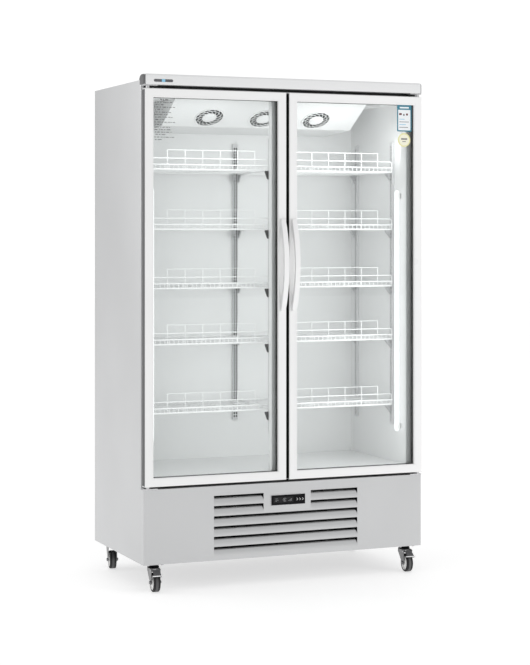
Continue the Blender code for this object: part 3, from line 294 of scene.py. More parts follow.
def add_prism(bm, outline, start, across, radius=0.0, segments=2):
    """An outline of 3-D points extruded by a vector, with the edges of its two ends rounded."""
    first = [bm.verts.new(Vector(point) + Vector(start)) for point in outline]
    second = [bm.verts.new(vert.co + Vector(across)) for vert in first]
    faces = [bm.faces.new(first), bm.faces.new(second[::-1])]
    for index in range(len(outline)):
        after = (index + 1) % len(outline)
        faces.append(bm.faces.new((first[index], second[index], second[after], first[after])))
    if radius:
        ends = list(faces[0].edges) + list(faces[1].edges)
        bmesh.ops.bevel(bm, geom=ends, offset=radius, segments=segments, profile=0.5, affect="EDGES")


def filleted(points, radius, steps=4, closed=False):
    """A path whose corners are replaced by arcs of about this radius."""
    points = [Vector(point) for point in points]
    count = len(points)
    path = []
    for index, corner in enumerate(points):
        if not closed and index in (0, count - 1):
            path.append(corner)
            continue
        before = points[index - 1] - corner
        after = points[(index + 1) % count] - corner
        cut = min(radius, before.length * 0.48, after.length * 0.48)
        start = corner + before.normalized() * cut
        end = corner + after.normalized() * cut
        for step in range(steps + 1):
            share = step / steps
            first = start.lerp(corner, share)
            path.append(first.lerp(corner.lerp(end, share), share))
    return path


def add_wire(bm, points, radius, sides=8, closed=False):
    """A round wire along a path; open ends are capped."""
    points = [Vector(point) for point in points]
    count = len(points)
    rings = []
    side = None
    for index, point in enumerate(points):
        ahead = points[(index + 1) % count] if closed or index < count - 1 else point
        behind = points[index - 1] if closed or index > 0 else point
        along = (ahead - behind).normalized()
        if side is None:
            side = along.orthogonal().normalized()
        side = (side - along * side.dot(along)).normalized()
        other = along.cross(side)
        ring = []
        for step in range(sides):
            angle = math.tau * step / sides
            ring.append(bm.verts.new(point + radius * (side * math.cos(angle) + other * math.sin(angle))))
        rings.append(ring)
    pairs = list(zip(rings, rings[1:]))
    if closed:
        pairs.append((rings[-1], rings[0]))
    for first, second in pairs:
        for step in range(sides):
            after = (step + 1) % sides
            bm.faces.new((first[step], first[after], second[after], second[step]))
    if not closed:
        bm.faces.new(rings[0][::-1])
        bm.faces.new(rings[-1])


def add_turned(bm, profile, place, sides):
    """A profile of (radius, height) points turned about Z and then put in place.

    It is closed from its last point to its first, unless it starts and ends on the axis.
    """
    rings = []
    for r, h in profile:
        turns = [math.tau * step / sides for step in range(sides if r else 1)]
        rings.append([bm.verts.new(place @ Vector((r * math.cos(a), r * math.sin(a), h))) for a in turns])
    pairs = list(zip(rings, rings[1:]))
    if profile[0][0]:
        pairs.append((rings[-1], rings[0]))
    for first, second in pairs:
        for step in range(sides):
            after = (step + 1) % sides
            corners = [ring[index % len(ring)] for ring, index in ((first, step), (first, after))]
            corners += [ring[index % len(ring)] for ring, index in ((second, after), (second, step))]
            bm.faces.new(list(dict.fromkeys(corners)))


def add_ring(bm, x, z, profile):
    """A profile of (distance inwards, y) points run round a rectangle with mitred corners."""
    loops = []
    for inset, y in profile:
        left, right, low, high = x[0] + inset, x[1] - inset, z[0] + inset, z[1] - inset
        corners = ((left, low), (right, low), (right, high), (left, high))
        loops.append([bm.verts.new((a, y, b)) for a, b in corners])
    for first, second in zip(loops, loops[1:] + loops[:1]):
        for corner in range(4):
            after = (corner + 1) % 4
            bm.faces.new((first[corner], first[after], second[after], second[corner]))


def add_slotted_plate(bm, place, columns, rows, thickness, is_hole):
    """A flat plate over a grid of lines, with the cells that is_hole picks left open."""
    grid = {}

    def vert(i, j, k):
        if (i, j, k) not in grid:
            grid[i, j, k] = bm.verts.new(place @ Vector((columns[i], rows[j], k * thickness)))
        return grid[i, j, k]

    def solid(i, j):
        inside = 0 <= i < len(columns) - 1 and 0 <= j < len(rows) - 1
        return inside and not is_hole(i, j)

    for i in range(len(columns) - 1):
        for j in range(len(rows) - 1):
            if not solid(i, j):
                continue
            corners = ((i, j), (i + 1, j), (i + 1, j + 1), (i, j + 1))
            for k in (0, 1):
                bm.faces.new([vert(a, b, k) for a, b in corners])
            neighbours = ((i, j - 1), (i + 1, j), (i, j + 1), (i - 1, j))
            for index, neighbour in enumerate(neighbours):
                if not solid(*neighbour):
                    a, b = corners[index], corners[(index + 1) % 4]
                    bm.faces.new((vert(*a, 0), vert(*b, 0), vert(*b, 1), vert(*a, 1)))


def arc(centre, radius, start, end, steps):
    """Points on an arc about a 2-D centre, between two angles in degrees."""
    for step in range(steps + 1):
        angle = math.radians(start + (end - start) * step / steps)
        yield centre[0] + radius * math.cos(angle), centre[1] + radius * math.sin(angle)


def facing(point, direction):
    """The transform that puts an object's Z along a direction at a point."""
    turn = Vector(direction).to_track_quat("Z", "Y").to_matrix().to_4x4()
    return Matrix.Translation(Vector(point)) @ turn


# --- Doors ---------------------------------------------------------------------------------

STILE = 0.034
FRAME_ROUND = 0.0025
PANE = 0.004
GLASS_RECESS = 0.0123
SEAT = 0.0077
SPACER_SHOW = 0.0008


def door_frame_profile(front, rear):
    """Outer edge round to the rear, then a rounded inner lip with a rebate for the glass."""
    r = FRAME_ROUND
    lip = GLASS_RECESS - 0.0006
    profile = list(arc((r, front + r), r, 180, 270, 5))
    bead = STILE - 0.0065
    profile += [(bead, front), (bead + 0.0003, front + 0.0008), (bead + 0.0009, front + 0.0008)]
    profile += [(bead + 0.0012, front)]
    profile += list(arc((STILE - r, front + r), r, 270, 360, 4))
    profile += [(STILE, front + lip), (STILE - SEAT, front + lip), (STILE - SEAT, rear)]
    profile += [(0.0008, rear), (0, rear - 0.0008)]
    return profile


def handle_outline(low, high, tip_y, rest_y, foot, end_reach, grip, steps):
    """Side view of the bow as (0, y, z) points: the outer arc up, and the inner arc down."""
    centre = (low + high) / 2
    half = (high - low) / 2

    def bow(chord_half, end_y, mid_y, direction):
        depth = end_y - mid_y
        radius = (chord_half**2 + depth**2) / (2 * depth)
        for step in range(steps + 1):
            z = direction * chord_half * (2 * step / steps - 1)
            yield (0, mid_y + radius - math.sqrt(radius**2 - z**2), centre + z)

    outer = list(bow(half, rest_y - end_reach, tip_y, 1))
    inner = list(bow(half - foot, rest_y, tip_y + grip, -1))
    return [(0, rest_y, low)] + outer + [(0, rest_y, high)] + inner


def make_door(side_name, side):
    body = f"door_{side_name}"
    low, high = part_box(f"door_frame_{side_name}")
    x, z = (low.x, high.x), (low.z, high.z)
    front, rear = low.y, high.y

    bm = bmesh.new()
    add_ring(bm, x, z, door_frame_profile(front, rear))
    node = f"door_frame_{side_name}"
    piece(f"{body}_frame", bm, MATERIALS["white_enamel"], body, (node,))

    # Two panes with a black spacer and sealant between them, all inside the CAD slab.
    glass_low, glass_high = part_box(f"door_glass_{side_name}")
    for label, start in (("front", glass_low.y), ("rear", glass_high.y - PANE)):
        bm = bmesh.new()
        add_box(
            bm,
            (glass_low.x, start, glass_low.z),
            (glass_high.x, start + PANE, glass_high.z),
            0.0004,
            1,
        )
        replaced = (f"door_glass_{side_name}",) if label == "front" else ()
        piece(f"{body}_pane_{label}", bm, MATERIALS["glass"], body, replaced, "glass")
    bm = bmesh.new()
    spacer_front, spacer_rear = glass_low.y + PANE + 0.0001, glass_high.y - PANE - 0.0001
    width = SEAT + SPACER_SHOW
    add_ring(
        bm,
        (glass_low.x, glass_high.x),
        (glass_low.z, glass_high.z),
        [(0.0, spacer_front), (width, spacer_front), (width, spacer_rear), (0.0, spacer_rear)],
    )
    piece(f"{body}_glass_spacer", bm, SPACER, body, slot="gasket")

    make_gasket(side_name, body)

    handle = f"door_handle_{side_name}"
    low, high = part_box(handle)
    outline = handle_outline(low.z, high.z, low.y, high.y, 0.030, 0.010, 0.011, 28)
    bm = bmesh.new()
    add_prism(bm, outline, (low.x, 0, 0), (high.x - low.x, 0, 0), 0.0045, 4)
    piece(f"{body}_bow_handle", bm, MATERIALS["white_enamel"], body, (handle,), sharp=60)


def make_gasket(side_name, body):
    """A magnetic seal: a soft bellows behind a flat magnet strip, mitred at the corners."""
    node = f"door_gasket_{side_name}"
    low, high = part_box(node)
    front, rear = low.y, high.y
    depth = rear - front
    profile = [
        (0.003, front),
        (0.0125, front),
        (0.0105, front + depth * 0.18),
        (0.0135, front + depth * 0.40),
        (0.0110, front + depth * 0.58),
        (0.0135, front + depth * 0.68),
        (0.0135, rear - 0.0005),
        (0.0130, rear),
        (0.0015, rear),
        (0.0005, rear - 0.0008),
        (0.0010, front + depth * 0.68),
        (0.0030, front + depth * 0.58),
        (0.0000, front + depth * 0.40),
        (0.0040, front + depth * 0.18),
    ]
    bm = bmesh.new()
    add_ring(bm, (low.x, high.x), (low.z, high.z), profile)
    piece(f"{body}_seal", bm, MATERIALS["gasket"], body, (node,), sharp=50)


# --- Shelves -------------------------------------------------------------------------------

RIM_WIRE = 0.0034
DECK_WIRE = 0.0016
RAIL_WIRE = 0.0019
UPPER_WIRE = 0.0028
GUARD_WIRE = 0.0021
TOP_WIRE = 0.0012
UPPER_RAIL = 0.022
GUARD_RAIL = 0.047
TOP_RAIL = 0.080
DECK_WIRES = 27
DIVIDERS = 6
DIVIDER_SHIFT = 0.006
DIVIDER_PITCH = 0.0746


def shelf_mesh(low, high):
    """One welded wire shelf in its CAD node's box, with a guard along its front."""
    bm = bmesh.new()
    x0, x1 = low.x + RIM_WIRE, high.x - RIM_WIRE
    y0, y1 = low.y + RIM_WIRE, high.y - RIM_WIRE
    z = low.z + RIM_WIRE
    rim = [(x0, y0, z), (x1, y0, z), (x1, y1, z), (x0, y1, z)]
    add_wire(bm, filleted(rim, 0.012, 5, closed=True), RIM_WIRE, 10, closed=True)
    for share in (0.30, 0.66):
        y = y0 + share * (y1 - y0)
        add_wire(bm, [(x0, y, z), (x1, y, z)], RAIL_WIRE, 8)

    # Each deck wire lies on the rim and turns up at the front to meet the upper rail.
    deck_z = z + RIM_WIRE * 0.4 + DECK_WIRE
    upper_z = low.z + UPPER_RAIL
    for index in range(DECK_WIRES):
        x = x0 + (x1 - x0) * (index + 0.5) / DECK_WIRES
        path = [(x, y1, deck_z), (x, y0 + 0.001, deck_z), (x, y0 + 0.001, upper_z)]
        add_wire(bm, filleted(path, 0.004, 3), DECK_WIRE, 6)
    rail_y = y0 - 0.0006
    add_wire(bm, [(x0 - 0.001, rail_y, upper_z), (x1 + 0.001, rail_y, upper_z)], UPPER_WIRE, 10)

    # The guard: a rail on two end posts, and a thinner top rail on the dividers.
    guard_y = y0 - 0.0004
    left, right, guard_z, top_z = x0 + 0.004, x1 - 0.004, low.z + GUARD_RAIL, low.z + TOP_RAIL
    corners = ((left, z), (left, guard_z), (right, guard_z), (right, z))
    path = [(x, guard_y, height) for x, height in corners]
    add_wire(bm, filleted(path, 0.010, 5), GUARD_WIRE, 8)
    centre = (x0 + x1) / 2 + DIVIDER_SHIFT
    dividers = [centre + (index - (DIVIDERS - 1) / 2) * DIVIDER_PITCH for index in range(DIVIDERS)]
    add_wire(bm, [(dividers[0], guard_y, top_z), (dividers[-1], guard_y, top_z)], TOP_WIRE, 8)
    for x in dividers:
        add_wire(bm, [(x, guard_y + 0.002, z), (x, guard_y + 0.002, top_z)], DECK_WIRE, 6)
    return mesh_of("wire_shelf", bm, MATERIALS["shelf_wire"], 50)


def make_shelves():
    first = "shelf_left_1"
    low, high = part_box(first)
    mesh = shelf_mesh(low, high)
    for side_name, _ in SIDES:
        for number in SHELF_NUMBERS:
            node = f"shelf_{side_name}_{number}"
            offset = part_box(node)[0] - low
            placed(f"wire_{node}", mesh, "cabinet", (node,), location=offset)


# --- Standards and clips -------------------------------------------------------------------

SLOT_PITCH = 0.0125
SLOT_LENGTH = 0.0085
SLOT_WIDTH = 0.0062
SLOT_GAP = 0.0036
SHEET = 0.0014
CHANNEL_DEPTH = 0.010
CENTER_HALF = 0.0115


def slot_rows(low_z, high_z):
    """Grid lines up a standard: a slot between every second pair."""
    count = int((high_z - low_z - SLOT_PITCH) / SLOT_PITCH)
    start = (low_z + high_z - count * SLOT_PITCH) / 2
    rows = [low_z]
    for index in range(count):
        rows += [start + index * SLOT_PITCH, start + index * SLOT_PITCH + SLOT_LENGTH]
    return rows + [high_z]


def add_clip(bm, corner, out, reach, width):
    """A wedge-shaped shelf clip whose top corner meets the standard, reaching along out."""
    corner, out = Vector(corner), Vector(out)
    across = Vector((0, 0, 1)).cross(out) * width
    drop = 0.034
    profile = [(0, 0), (reach, 0), (reach, 0.005), (0.006, drop - 0.003), (0.003, drop), (0, drop)]
    outline = [corner + out * a - Vector((0, 0, b)) for a, b in profile]
    add_prism(bm, outline, -across / 2, across, 0.0007, 1)


def shelf_levels():
    return [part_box(f"shelf_left_{number}")[0].z - 0.0004 for number in SHELF_NUMBERS]


def make_channel(name, place, columns, rows, depth, replaced=()):
    """A channel with a slotted face that stands on its two flanges."""
    bm = bmesh.new()
    add_slotted_plate(bm, place, columns, rows, SHEET, lambda i, j: i % 2 == 1 and j % 2 == 1)
    for edge in (columns[0], columns[-1] - SHEET):
        turned_box(bm, place, (edge, rows[0], SHEET), (edge + SHEET, rows[-1], depth), 0.0002, 1)
    piece(name, bm, PALE_STEEL, "cabinet", replaced, "galvanised_sheet")


def make_slot_shade_strip(name, place, start, end, rows):
    """A black strip just behind a channel's slots: painted shade seen through them."""
    bm = bmesh.new()
    near, end_gap = SHEET + 0.0002, 0.002
    turned_box(bm, place, (start, rows[0] + end_gap, near), (end, rows[-1] - end_gap, near + 0.001))
    piece(name, bm, SHADOW_LINE, "cabinet", slot="galvanised_sheet")


def make_wall_standard(node, side):
    """A channel with one column of slots, facing the storage space from a side wall."""
    low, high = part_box(node)
    face_x = (high.x if side > 0 else low.x) - side * CHANNEL_DEPTH
    mid = (low.y + high.y) / 2
    rows = slot_rows(low.z, high.z)
    columns = [low.y, mid - SLOT_WIDTH / 2, mid + SLOT_WIDTH / 2, high.y]
    place = Matrix(((0, 0, side, face_x), (1, 0, 0, 0), (0, 1, 0, 0), (0, 0, 0, 1)))
    make_channel(f"slotted_{node}", place, columns, rows, CHANNEL_DEPTH, (node,))
    make_slot_shade_strip(f"slot_shadow_{node}", place, mid - 0.0045, mid + 0.0045, rows)
    bm = bmesh.new()
    for level in shelf_levels():
        add_clip(bm, (face_x, mid, level), (-side, 0, 0), 0.028, 0.007)
    piece(f"clips_{node}", bm, MATERIALS["zinc_hardware"], "cabinet", slot="zinc_hardware")


def make_center_standard():
    """The rear centre standard, with two columns of slots, and its forward-facing clips."""
    node = "shelf_standard_center_rear"
    low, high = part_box(node)
    face_y = high.y - CHANNEL_DEPTH
    rows = slot_rows(low.z, high.z)
    inner, outer = SLOT_GAP / 2, SLOT_GAP / 2 + SLOT_WIDTH
    columns = [-CENTER_HALF, -outer, -inner, inner, outer, CENTER_HALF]
    place = Matrix.Translation((0, face_y, 0)) @ FRONT_PLACE
    make_channel("slotted_center_standard", place, columns, rows, CHANNEL_DEPTH, (node,))
    make_slot_shade_strip("slot_shadow_center", place, -outer - 0.001, outer + 0.001, rows)
    bm = bmesh.new()
    for level in shelf_levels():
        for side in (-1, 1):
            add_clip(bm, (side * 0.0135, face_y, level), (0, -1, 0), 0.026, 0.006)
            x0, x1 = sorted((side * 0.0105, side * 0.031))
            add_box(bm, (x0, face_y - 0.026, level - 0.003), (x1, face_y - 0.002, level), 0.0005, 1)
    piece("clips_center_standard", bm, MATERIALS["zinc_hardware"], "cabinet", slot="zinc_hardware")


def make_mullion():
    """The centre post with two slotted standards on its inner face and clips to both sides."""
    node = "center_mullion"
    low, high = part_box(node)
    half, rear = 0.050, low.y + 0.036
    bm = bmesh.new()
    add_box(bm, (-half, low.y, low.z), (half, rear, high.z), 0.003, 3)
    piece("mullion_post", bm, MATERIALS["white_enamel"], "cabinet", (node,))
    standard_low, standard_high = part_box("shelf_standard_center_rear")
    rows = slot_rows(standard_low.z, standard_high.z)
    place = Matrix(((1, 0, 0, 0), (0, 0, -1, rear + CHANNEL_DEPTH), (0, 1, 0, 0), (0, 0, 0, 1)))
    for side_name, side in SIDES:
        centre = side * 0.037
        columns = [centre - 0.011, centre - SLOT_WIDTH / 2, centre + SLOT_WIDTH / 2, centre + 0.011]
        make_channel(f"mullion_standard_{side_name}", place, columns, rows, CHANNEL_DEPTH + 0.0005)
        bm = bmesh.new()
        for level in shelf_levels():
            add_clip(bm, (side * 0.048, rear + 0.005, level), (side, 0, 0), 0.015, 0.008)
        piece(f"mullion_clips_{side_name}", bm, MATERIALS["fan_black"], "cabinet", slot="fan_black")


# --- Fan grilles and cooling ---------------------------------------------------------------

GRILLE_RADIUS = 0.062
GRILLE_HUB = 0.030
GRILLE_VANES = 14
BLADE_ROWS = 6
BLADE_COLUMNS = 5


def make_fan_grille(name, node):
    """A moulded grille over an evaporator fan: an outer ring, swirled vanes and a domed centre."""
    joint = JOINTS[f"{node}_spin"]
    axis = Vector(joint["axis"]).normalized()
    place = facing(Vector(joint["pos_m"]) - axis * 0.0080, -axis)
    bm = bmesh.new()
    r, hub = GRILLE_RADIUS, GRILLE_HUB
    ring = [(r - 0.006, 0.0002), (r, 0.0002), (r, 0.002), (r - 0.0015, 0.004), (r - 0.0045, 0.004)]
    add_turned(bm, ring + [(r - 0.006, 0.0025)], place, 48)
    add_turned(bm, [(0.045, 0.0014), (0.0465, 0.0014), (0.0465, 0.0030), (0.045, 0.0030)], place, 48)
    dome = [(0, 0.0006), (hub, 0.0006), (hub, 0.0025), (hub - 0.003, 0.0042), (0.012, 0.0056), (0, 0.0060)]
    add_turned(bm, dome, place, 40)
    for index in range(GRILLE_VANES):
        path = []
        for step in range(4):
            share = step / 3
            radius = hub - 0.001 + share * (r - 0.004 - hub)
            angle = math.tau * index / GRILLE_VANES + 0.62 * share
            path.append(place @ Vector((radius * math.cos(angle), radius * math.sin(angle), 0.0022)))
        add_wire(bm, path, 0.0014, 6)
    piece(name, bm, MATERIALS["liner_white"], "cabinet", slot="liner_white", sharp=40)


def blade_rows(start, hub, tip, length, pitch):
    """Rows of points from a blade's root to its tip, cupped across and swept back."""
    for step in range(BLADE_ROWS):
        share = step / (BLADE_ROWS - 1)
        radius = hub * 0.85 + share * (tip * 0.985 - hub * 0.85)
        row = []
        for cross in range(BLADE_COLUMNS):
            t = cross / (BLADE_COLUMNS - 1) - 0.5
            angle = start + t * (0.34 + 0.20 * share) * pitch * 1.9 + 0.25 * share
            lift = -t * length * (0.92 - 0.30 * share) + 0.0012 * math.sin(math.pi * (t + 0.5))
            row.append(Vector((radius * math.cos(angle), radius * math.sin(angle), lift)))
        yield row


def make_fan_rotor(node, tip, hub, length, blades):
    """A moulded rotor: a domed hub and cupped blades that widen towards their tips."""
    low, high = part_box(node)
    place = facing((low + high) / 2, Vector(JOINTS[f"{node}_spin"]["axis"]).normalized())
    bm = bmesh.new()
    half, last_row, last_column = length / 2, BLADE_ROWS - 1, BLADE_COLUMNS - 1
    dome = [(0, -half), (hub * 0.8, -half), (hub, -half + 0.002), (hub, half - 0.001), (hub - 0.001, half)]
    add_turned(bm, dome + [(0, half)], place, 28)
    rim = [(i, 0) for i in range(last_row)] + [(last_row, j) for j in range(last_column)]
    rim += [(i, last_column) for i in range(last_row, 0, -1)] + [(0, j) for j in range(last_column, 0, -1)]
    for index in range(blades):
        rows = list(blade_rows(math.tau * index / blades, hub, tip, length, math.tau / blades))
        skins = []
        for offset in (-0.0007, 0.0007):
            shift = Vector((0, 0, offset))
            skins.append([[bm.verts.new(place @ (point + shift)) for point in row] for row in rows])
        for skin in skins:
            for i in range(last_row):
                for j in range(last_column):
                    bm.faces.new((skin[i][j], skin[i + 1][j], skin[i + 1][j + 1], skin[i][j + 1]))
        back, front = skins
        for (i, j), (k, m) in zip(rim, rim[1:] + rim[:1]):
            bm.faces.new((back[i][j], back[k][m], front[k][m], front[i][j]))
    piece(f"{node}_rotor", bm, MATERIALS["fan_black"], node, (node,), sharp=50)


# --- Lamps ---------------------------------------------------------------------------------


def make_lamp(side_name, side):
    """An opal tube with rounded ends in two holders, inside a front corner."""
    node = f"lamp_{side_name}"
    low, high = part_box(node)
    radius = (high.y - low.y) / 2
    x = high.x - radius if side < 0 else low.x + radius
    y = (low.y + high.y) / 2
    profile = [(0, low.z)]
    profile += [(radius * math.sin(a), low.z + radius * (1 - math.cos(a))) for a in (0.5, 1.0, 1.57)]
    profile += [(radius * math.sin(a), high.z - radius * (1 - math.cos(a))) for a in (1.57, 1.0, 0.5)]
    profile += [(0, high.z)]
    bm = bmesh.new()
    add_turned(bm, profile, Matrix.Translation((x, y, 0)), 24)
    piece(f"{node}_tube", bm, MATERIALS["lamp"], "cabinet", (node,))
    wall = side * 0.5495
    bm = bmesh.new()
    for z in (low.z + 0.012, high.z - 0.036):
        x0, x1 = sorted((wall, x + side * radius * 0.6))
        add_box(bm, (x0, y - radius - 0.002, z), (x1, y + radius + 0.002, z + 0.024), 0.002, 2)
        x0, x1 = sorted((wall, x - side * radius * 0.2))
        for edge in (-1, 1):
            start, end = sorted((y + edge * (radius + 0.0002), y + edge * (radius + 0.002)))
            add_box(bm, (x0, start, z), (x1, end, z + 0.024), 0.0004, 1)
    piece(f"{node}_holders", bm, MATERIALS["white_enamel"], "cabinet", slot="white_enamel")


# --- Canopy and sheet-metal skins ----------------------------------------------------------

FOLD = 0.0025
PANEL = 0.0012


def cut_away(obj, low, high):
    """Cuts a box out of a piece and keeps the result on it."""
    bm = bmesh.new()
    add_box(bm, low, high)
    bmesh.ops.recalc_face_normals(bm, faces=bm.faces)
    cutter = bpy.data.meshes.new("cutter")
    bm.to_mesh(cutter)
    bm.free()
    tool = in_scene("cutter", cutter)
    modifier = obj.modifiers.new("Cut", "BOOLEAN")
    modifier.operation = "DIFFERENCE"
    modifier.object = tool
    graph = bpy.context.evaluated_depsgraph_get()
    mesh = bpy.data.meshes.new_from_object(obj.evaluated_get(graph))
    obj.modifiers.clear()
    obj.data = mesh
    bpy.data.objects.remove(tool)


def make_canopy():
    """The cap over the doors: rounded ends, a rolled top edge and a slope down to the roof."""
    node = "header_canopy"
    low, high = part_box(node)
    corner, edge, slope_y = 0.022, 0.009, -0.262
    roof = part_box("roof_panel")[1].z
    outline = [(low.x, high.y), *arc((low.x + corner, low.y + corner), corner, 180, 270, 8)]
    outline += [*arc((high.x - corner, low.y + corner), corner, 270, 360, 8), (high.x, high.y)]
    levels = [(low.z, 0.0010), (low.z + 0.0010, 0.0)]
    levels += [(high.z - edge + z, edge - r) for r, z in arc((0, 0), edge, 0, 90, 5)]
    bm = bmesh.new()
    rings = []
    for z, inset in levels:
        ring = []
        for x, y in outline:
            inwards = Vector((x - max(min(x, high.x - corner), low.x + corner), min(y - low.y - corner, 0)))
            shift = inwards.normalized() * inset if inwards.length else inwards
            ring.append(bm.verts.new((x - shift.x, y - shift.y, z)))
        rings.append(ring)
    for first, second in zip(rings, rings[1:]):
        for index in range(len(outline)):
            after = (index + 1) % len(outline)
            bm.faces.new((first[index], first[after], second[after], second[index]))
    bm.faces.new(rings[0][::-1])
    bm.faces.new(rings[-1])
    geom = [*bm.verts, *bm.edges, *bm.faces]
    normal = Vector((0, high.z - roof, high.y - slope_y)).normalized()
    start = (0, slope_y, high.z)
    cut = bmesh.ops.bisect_plane(bm, geom=geom, plane_co=start, plane_no=normal, clear_outer=True)
    edges = [item for item in cut["geom_cut"] if isinstance(item, bmesh.types.BMEdge)]
    bmesh.ops.holes_fill(bm, edges=edges, sides=0)
    cap = piece("canopy_cap", bm, CANOPY_SHEET, "cabinet", (node,), sharp=40)
    cabinet_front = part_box("side_panel_left")[0].y
    margin, gap = 0.01, 0.0002
    behind = (low.x - margin, cabinet_front - gap, low.z - margin)
    cut_away(cap, behind, (high.x + margin, high.y + margin, roof + gap))
    cap.data.set_sharp_from_angle(angle=math.radians(40))

    # The faces on the two ends that turn to the sides are dark grey, flush with the sheet: painted shade on the
    # ends.
    cap.data.materials.append(END_SHADE_GREY)
    for face in cap.data.polygons:
        face.material_index = int(abs(face.normal.x) > 0.55)


def make_badge():
    """A plain oval plate near the canopy's left end, with a blue inlay and no mark."""
    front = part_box("header_canopy")[0].y
    x0, x1, z, half, inlay = -0.562, -0.483, 1.974, 0.0055, 0.007
    outline = [*arc((x0 + half, z), half, 90, 270, 10), *arc((x1 - half, z), half, 270, 450, 10)]
    bm = bmesh.new()
    add_prism(bm, [(a, 0, b) for a, b in outline], (0, front - 0.0003, 0), (0, 0.0007, 0), 0.0002, 1)
    piece("canopy_badge", bm, BADGE, "cabinet", slot="zinc_hardware")
    bm = bmesh.new()
    centre = (x0 + x1) / 2
    add_box(bm, (centre - inlay, front - 0.0006, z - half), (centre + inlay, front - 0.0002, z + half))
    piece("canopy_badge_inlay", bm, LABEL_BLUE, "cabinet", slot="zinc_hardware")


def make_side_panels():
    """A side sheet with a rolled fold along its front edge."""
    for side_name, side in SIDES:
        node = f"side_panel_{side_name}"
        low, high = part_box(node)
        outer = side * max(abs(low.x), abs(high.x))
        flange = side * min(abs(low.x), abs(high.x))
        front, rear = low.y, high.y
        outline = [(outer, rear)]
        for x, y in arc((0, 0), FOLD, 0, 90, 5):
            outline.append((outer - side * (FOLD - x), front + FOLD - y))
        outline += [(flange, front), (flange, front + PANEL)]
        for x, y in arc((0, 0), FOLD - PANEL, 90, 0, 3):
            outline.append((outer - side * (FOLD - x), front + FOLD - y))
        outline.append((outer - side * PANEL, rear))
        bm = bmesh.new()
        add_prism(bm, [(x, y, low.z) for x, y in outline], (0, 0, 0), (0, 0, high.z - low.z))
        piece(f"{node}_skin", bm, MATERIALS["stainless_panel"], "cabinet", (node,), sharp=50)


def add_sheet(bm, place, outer, holes, thickness):
    """A flat sheet (x0, x1, z0, z1) with rectangular holes given the same way."""
    columns = sorted({outer[0], outer[1]} | {edge for hole in holes for edge in hole[:2]})
    rows = sorted({outer[2], outer[3]} | {edge for hole in holes for edge in hole[2:]})

    def is_hole(i, j):
        x = (columns[i] + columns[i + 1]) / 2
        z = (rows[j] + rows[j + 1]) / 2
        return any(a < x < b and c < z < d for a, b, c, d in holes)

    add_slotted_plate(bm, place, columns, rows, thickness, is_hole)


LOUVER_HALF = 0.310
LOUVER_TOP = 0.359
LOUVER_PITCH = 0.040
LOUVER_HEIGHT = 0.036
LOUVER_SLOT = 0.009
LOUVER_INSET = 0.012
LOUVER_ROWS = 6
SHORT_ROWS = 2
SHORT_ENDS = (-0.100, 0.104)


def louvers():
    """Each louver as (left, right, bottom, top), the short ones beside the controller first."""
    for row in range(LOUVER_ROWS):
        top = LOUVER_TOP - row * LOUVER_PITCH
        bottom = top - LOUVER_HEIGHT
        if row < SHORT_ROWS:
            yield -LOUVER_HALF, SHORT_ENDS[0], bottom, top
            yield SHORT_ENDS[1], LOUVER_HALF, bottom, top
        else:
            yield -LOUVER_HALF, LOUVER_HALF, bottom, top


def make_louver_panel():
    """The base's front tray: rounded vertical folds, pressed louvers and the controller's hole."""
    node = "louver_panel"
    low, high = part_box(node)
    front, rear, fold = low.y, high.y, 0.004
    control_low, control_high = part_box("controller_housing")
    rim = 0.006
    cut_out = (control_low.x + rim, control_high.x - rim, control_low.z + rim, control_high.z - rim)
    bm = bmesh.new()
    place = Matrix.Translation((0, front, 0)) @ FRONT_PLACE
    outer = (low.x + fold, high.x - fold, low.z, high.z)
    add_sheet(bm, place, outer, [*louvers(), cut_out], PANEL)
    for side in (-1, 1):
        edge = side * high.x
        outline = [(edge - side * (fold - x), front + fold - y) for x, y in arc((0, 0), fold, 90, 0, 6)]
        outline += [(edge, rear), (edge - side * PANEL, rear)]
        outline += [
            (edge - side * (fold - x), front + fold - y) for x, y in arc((0, 0), fold - PANEL, 0, 90, 5)
        ]
        add_prism(bm, [(x, y, low.z) for x, y in outline], (0, 0, 0), (0, 0, high.z - low.z))
    for z in (low.z, high.z - PANEL):
        start = (low.x + PANEL, front + PANEL, z)
        add_box(bm, start, (high.x - PANEL, rear, z + PANEL), 0.0002, 1)
    for left, right, bottom, top in louvers():
        add_louver(bm, left, right, front, bottom, top)
    piece("louvered_base_panel", bm, MATERIALS["stainless_panel"], "cabinet", (node,), sharp=40)


def add_louver(bm, left, right, front, bottom, top):
    """A flap that curves inwards up to its open slot; its right end is cut back as it sinks in."""
    steps, cut_back = 8, 0.0075
    rows = []
    for step in range(steps + 1):
        share = step / steps
        angle = math.radians(90) * share
        y = front + LOUVER_INSET * (1 - math.cos(angle))
        z = bottom + (LOUVER_HEIGHT - LOUVER_SLOT) * math.sin(angle)
        end = right - cut_back * max(share - 0.25, 0) / 0.75
        outer = [(left, y, z), (end, y, z)]
        inner = [(x, y + PANEL, z - PANEL * 0.4) for x, y, z in outer]
        rows.append([bm.verts.new(point) for point in outer + inner[::-1]])
    for first, second in zip(rows, rows[1:]):
        for index in range(4):
            after = (index + 1) % 4
            bm.faces.new((first[index], first[after], second[after], second[index]))
    bm.faces.new(rows[0][::-1])
    bm.faces.new(rows[-1])


# --- Controller ----------------------------------------------------------------------------


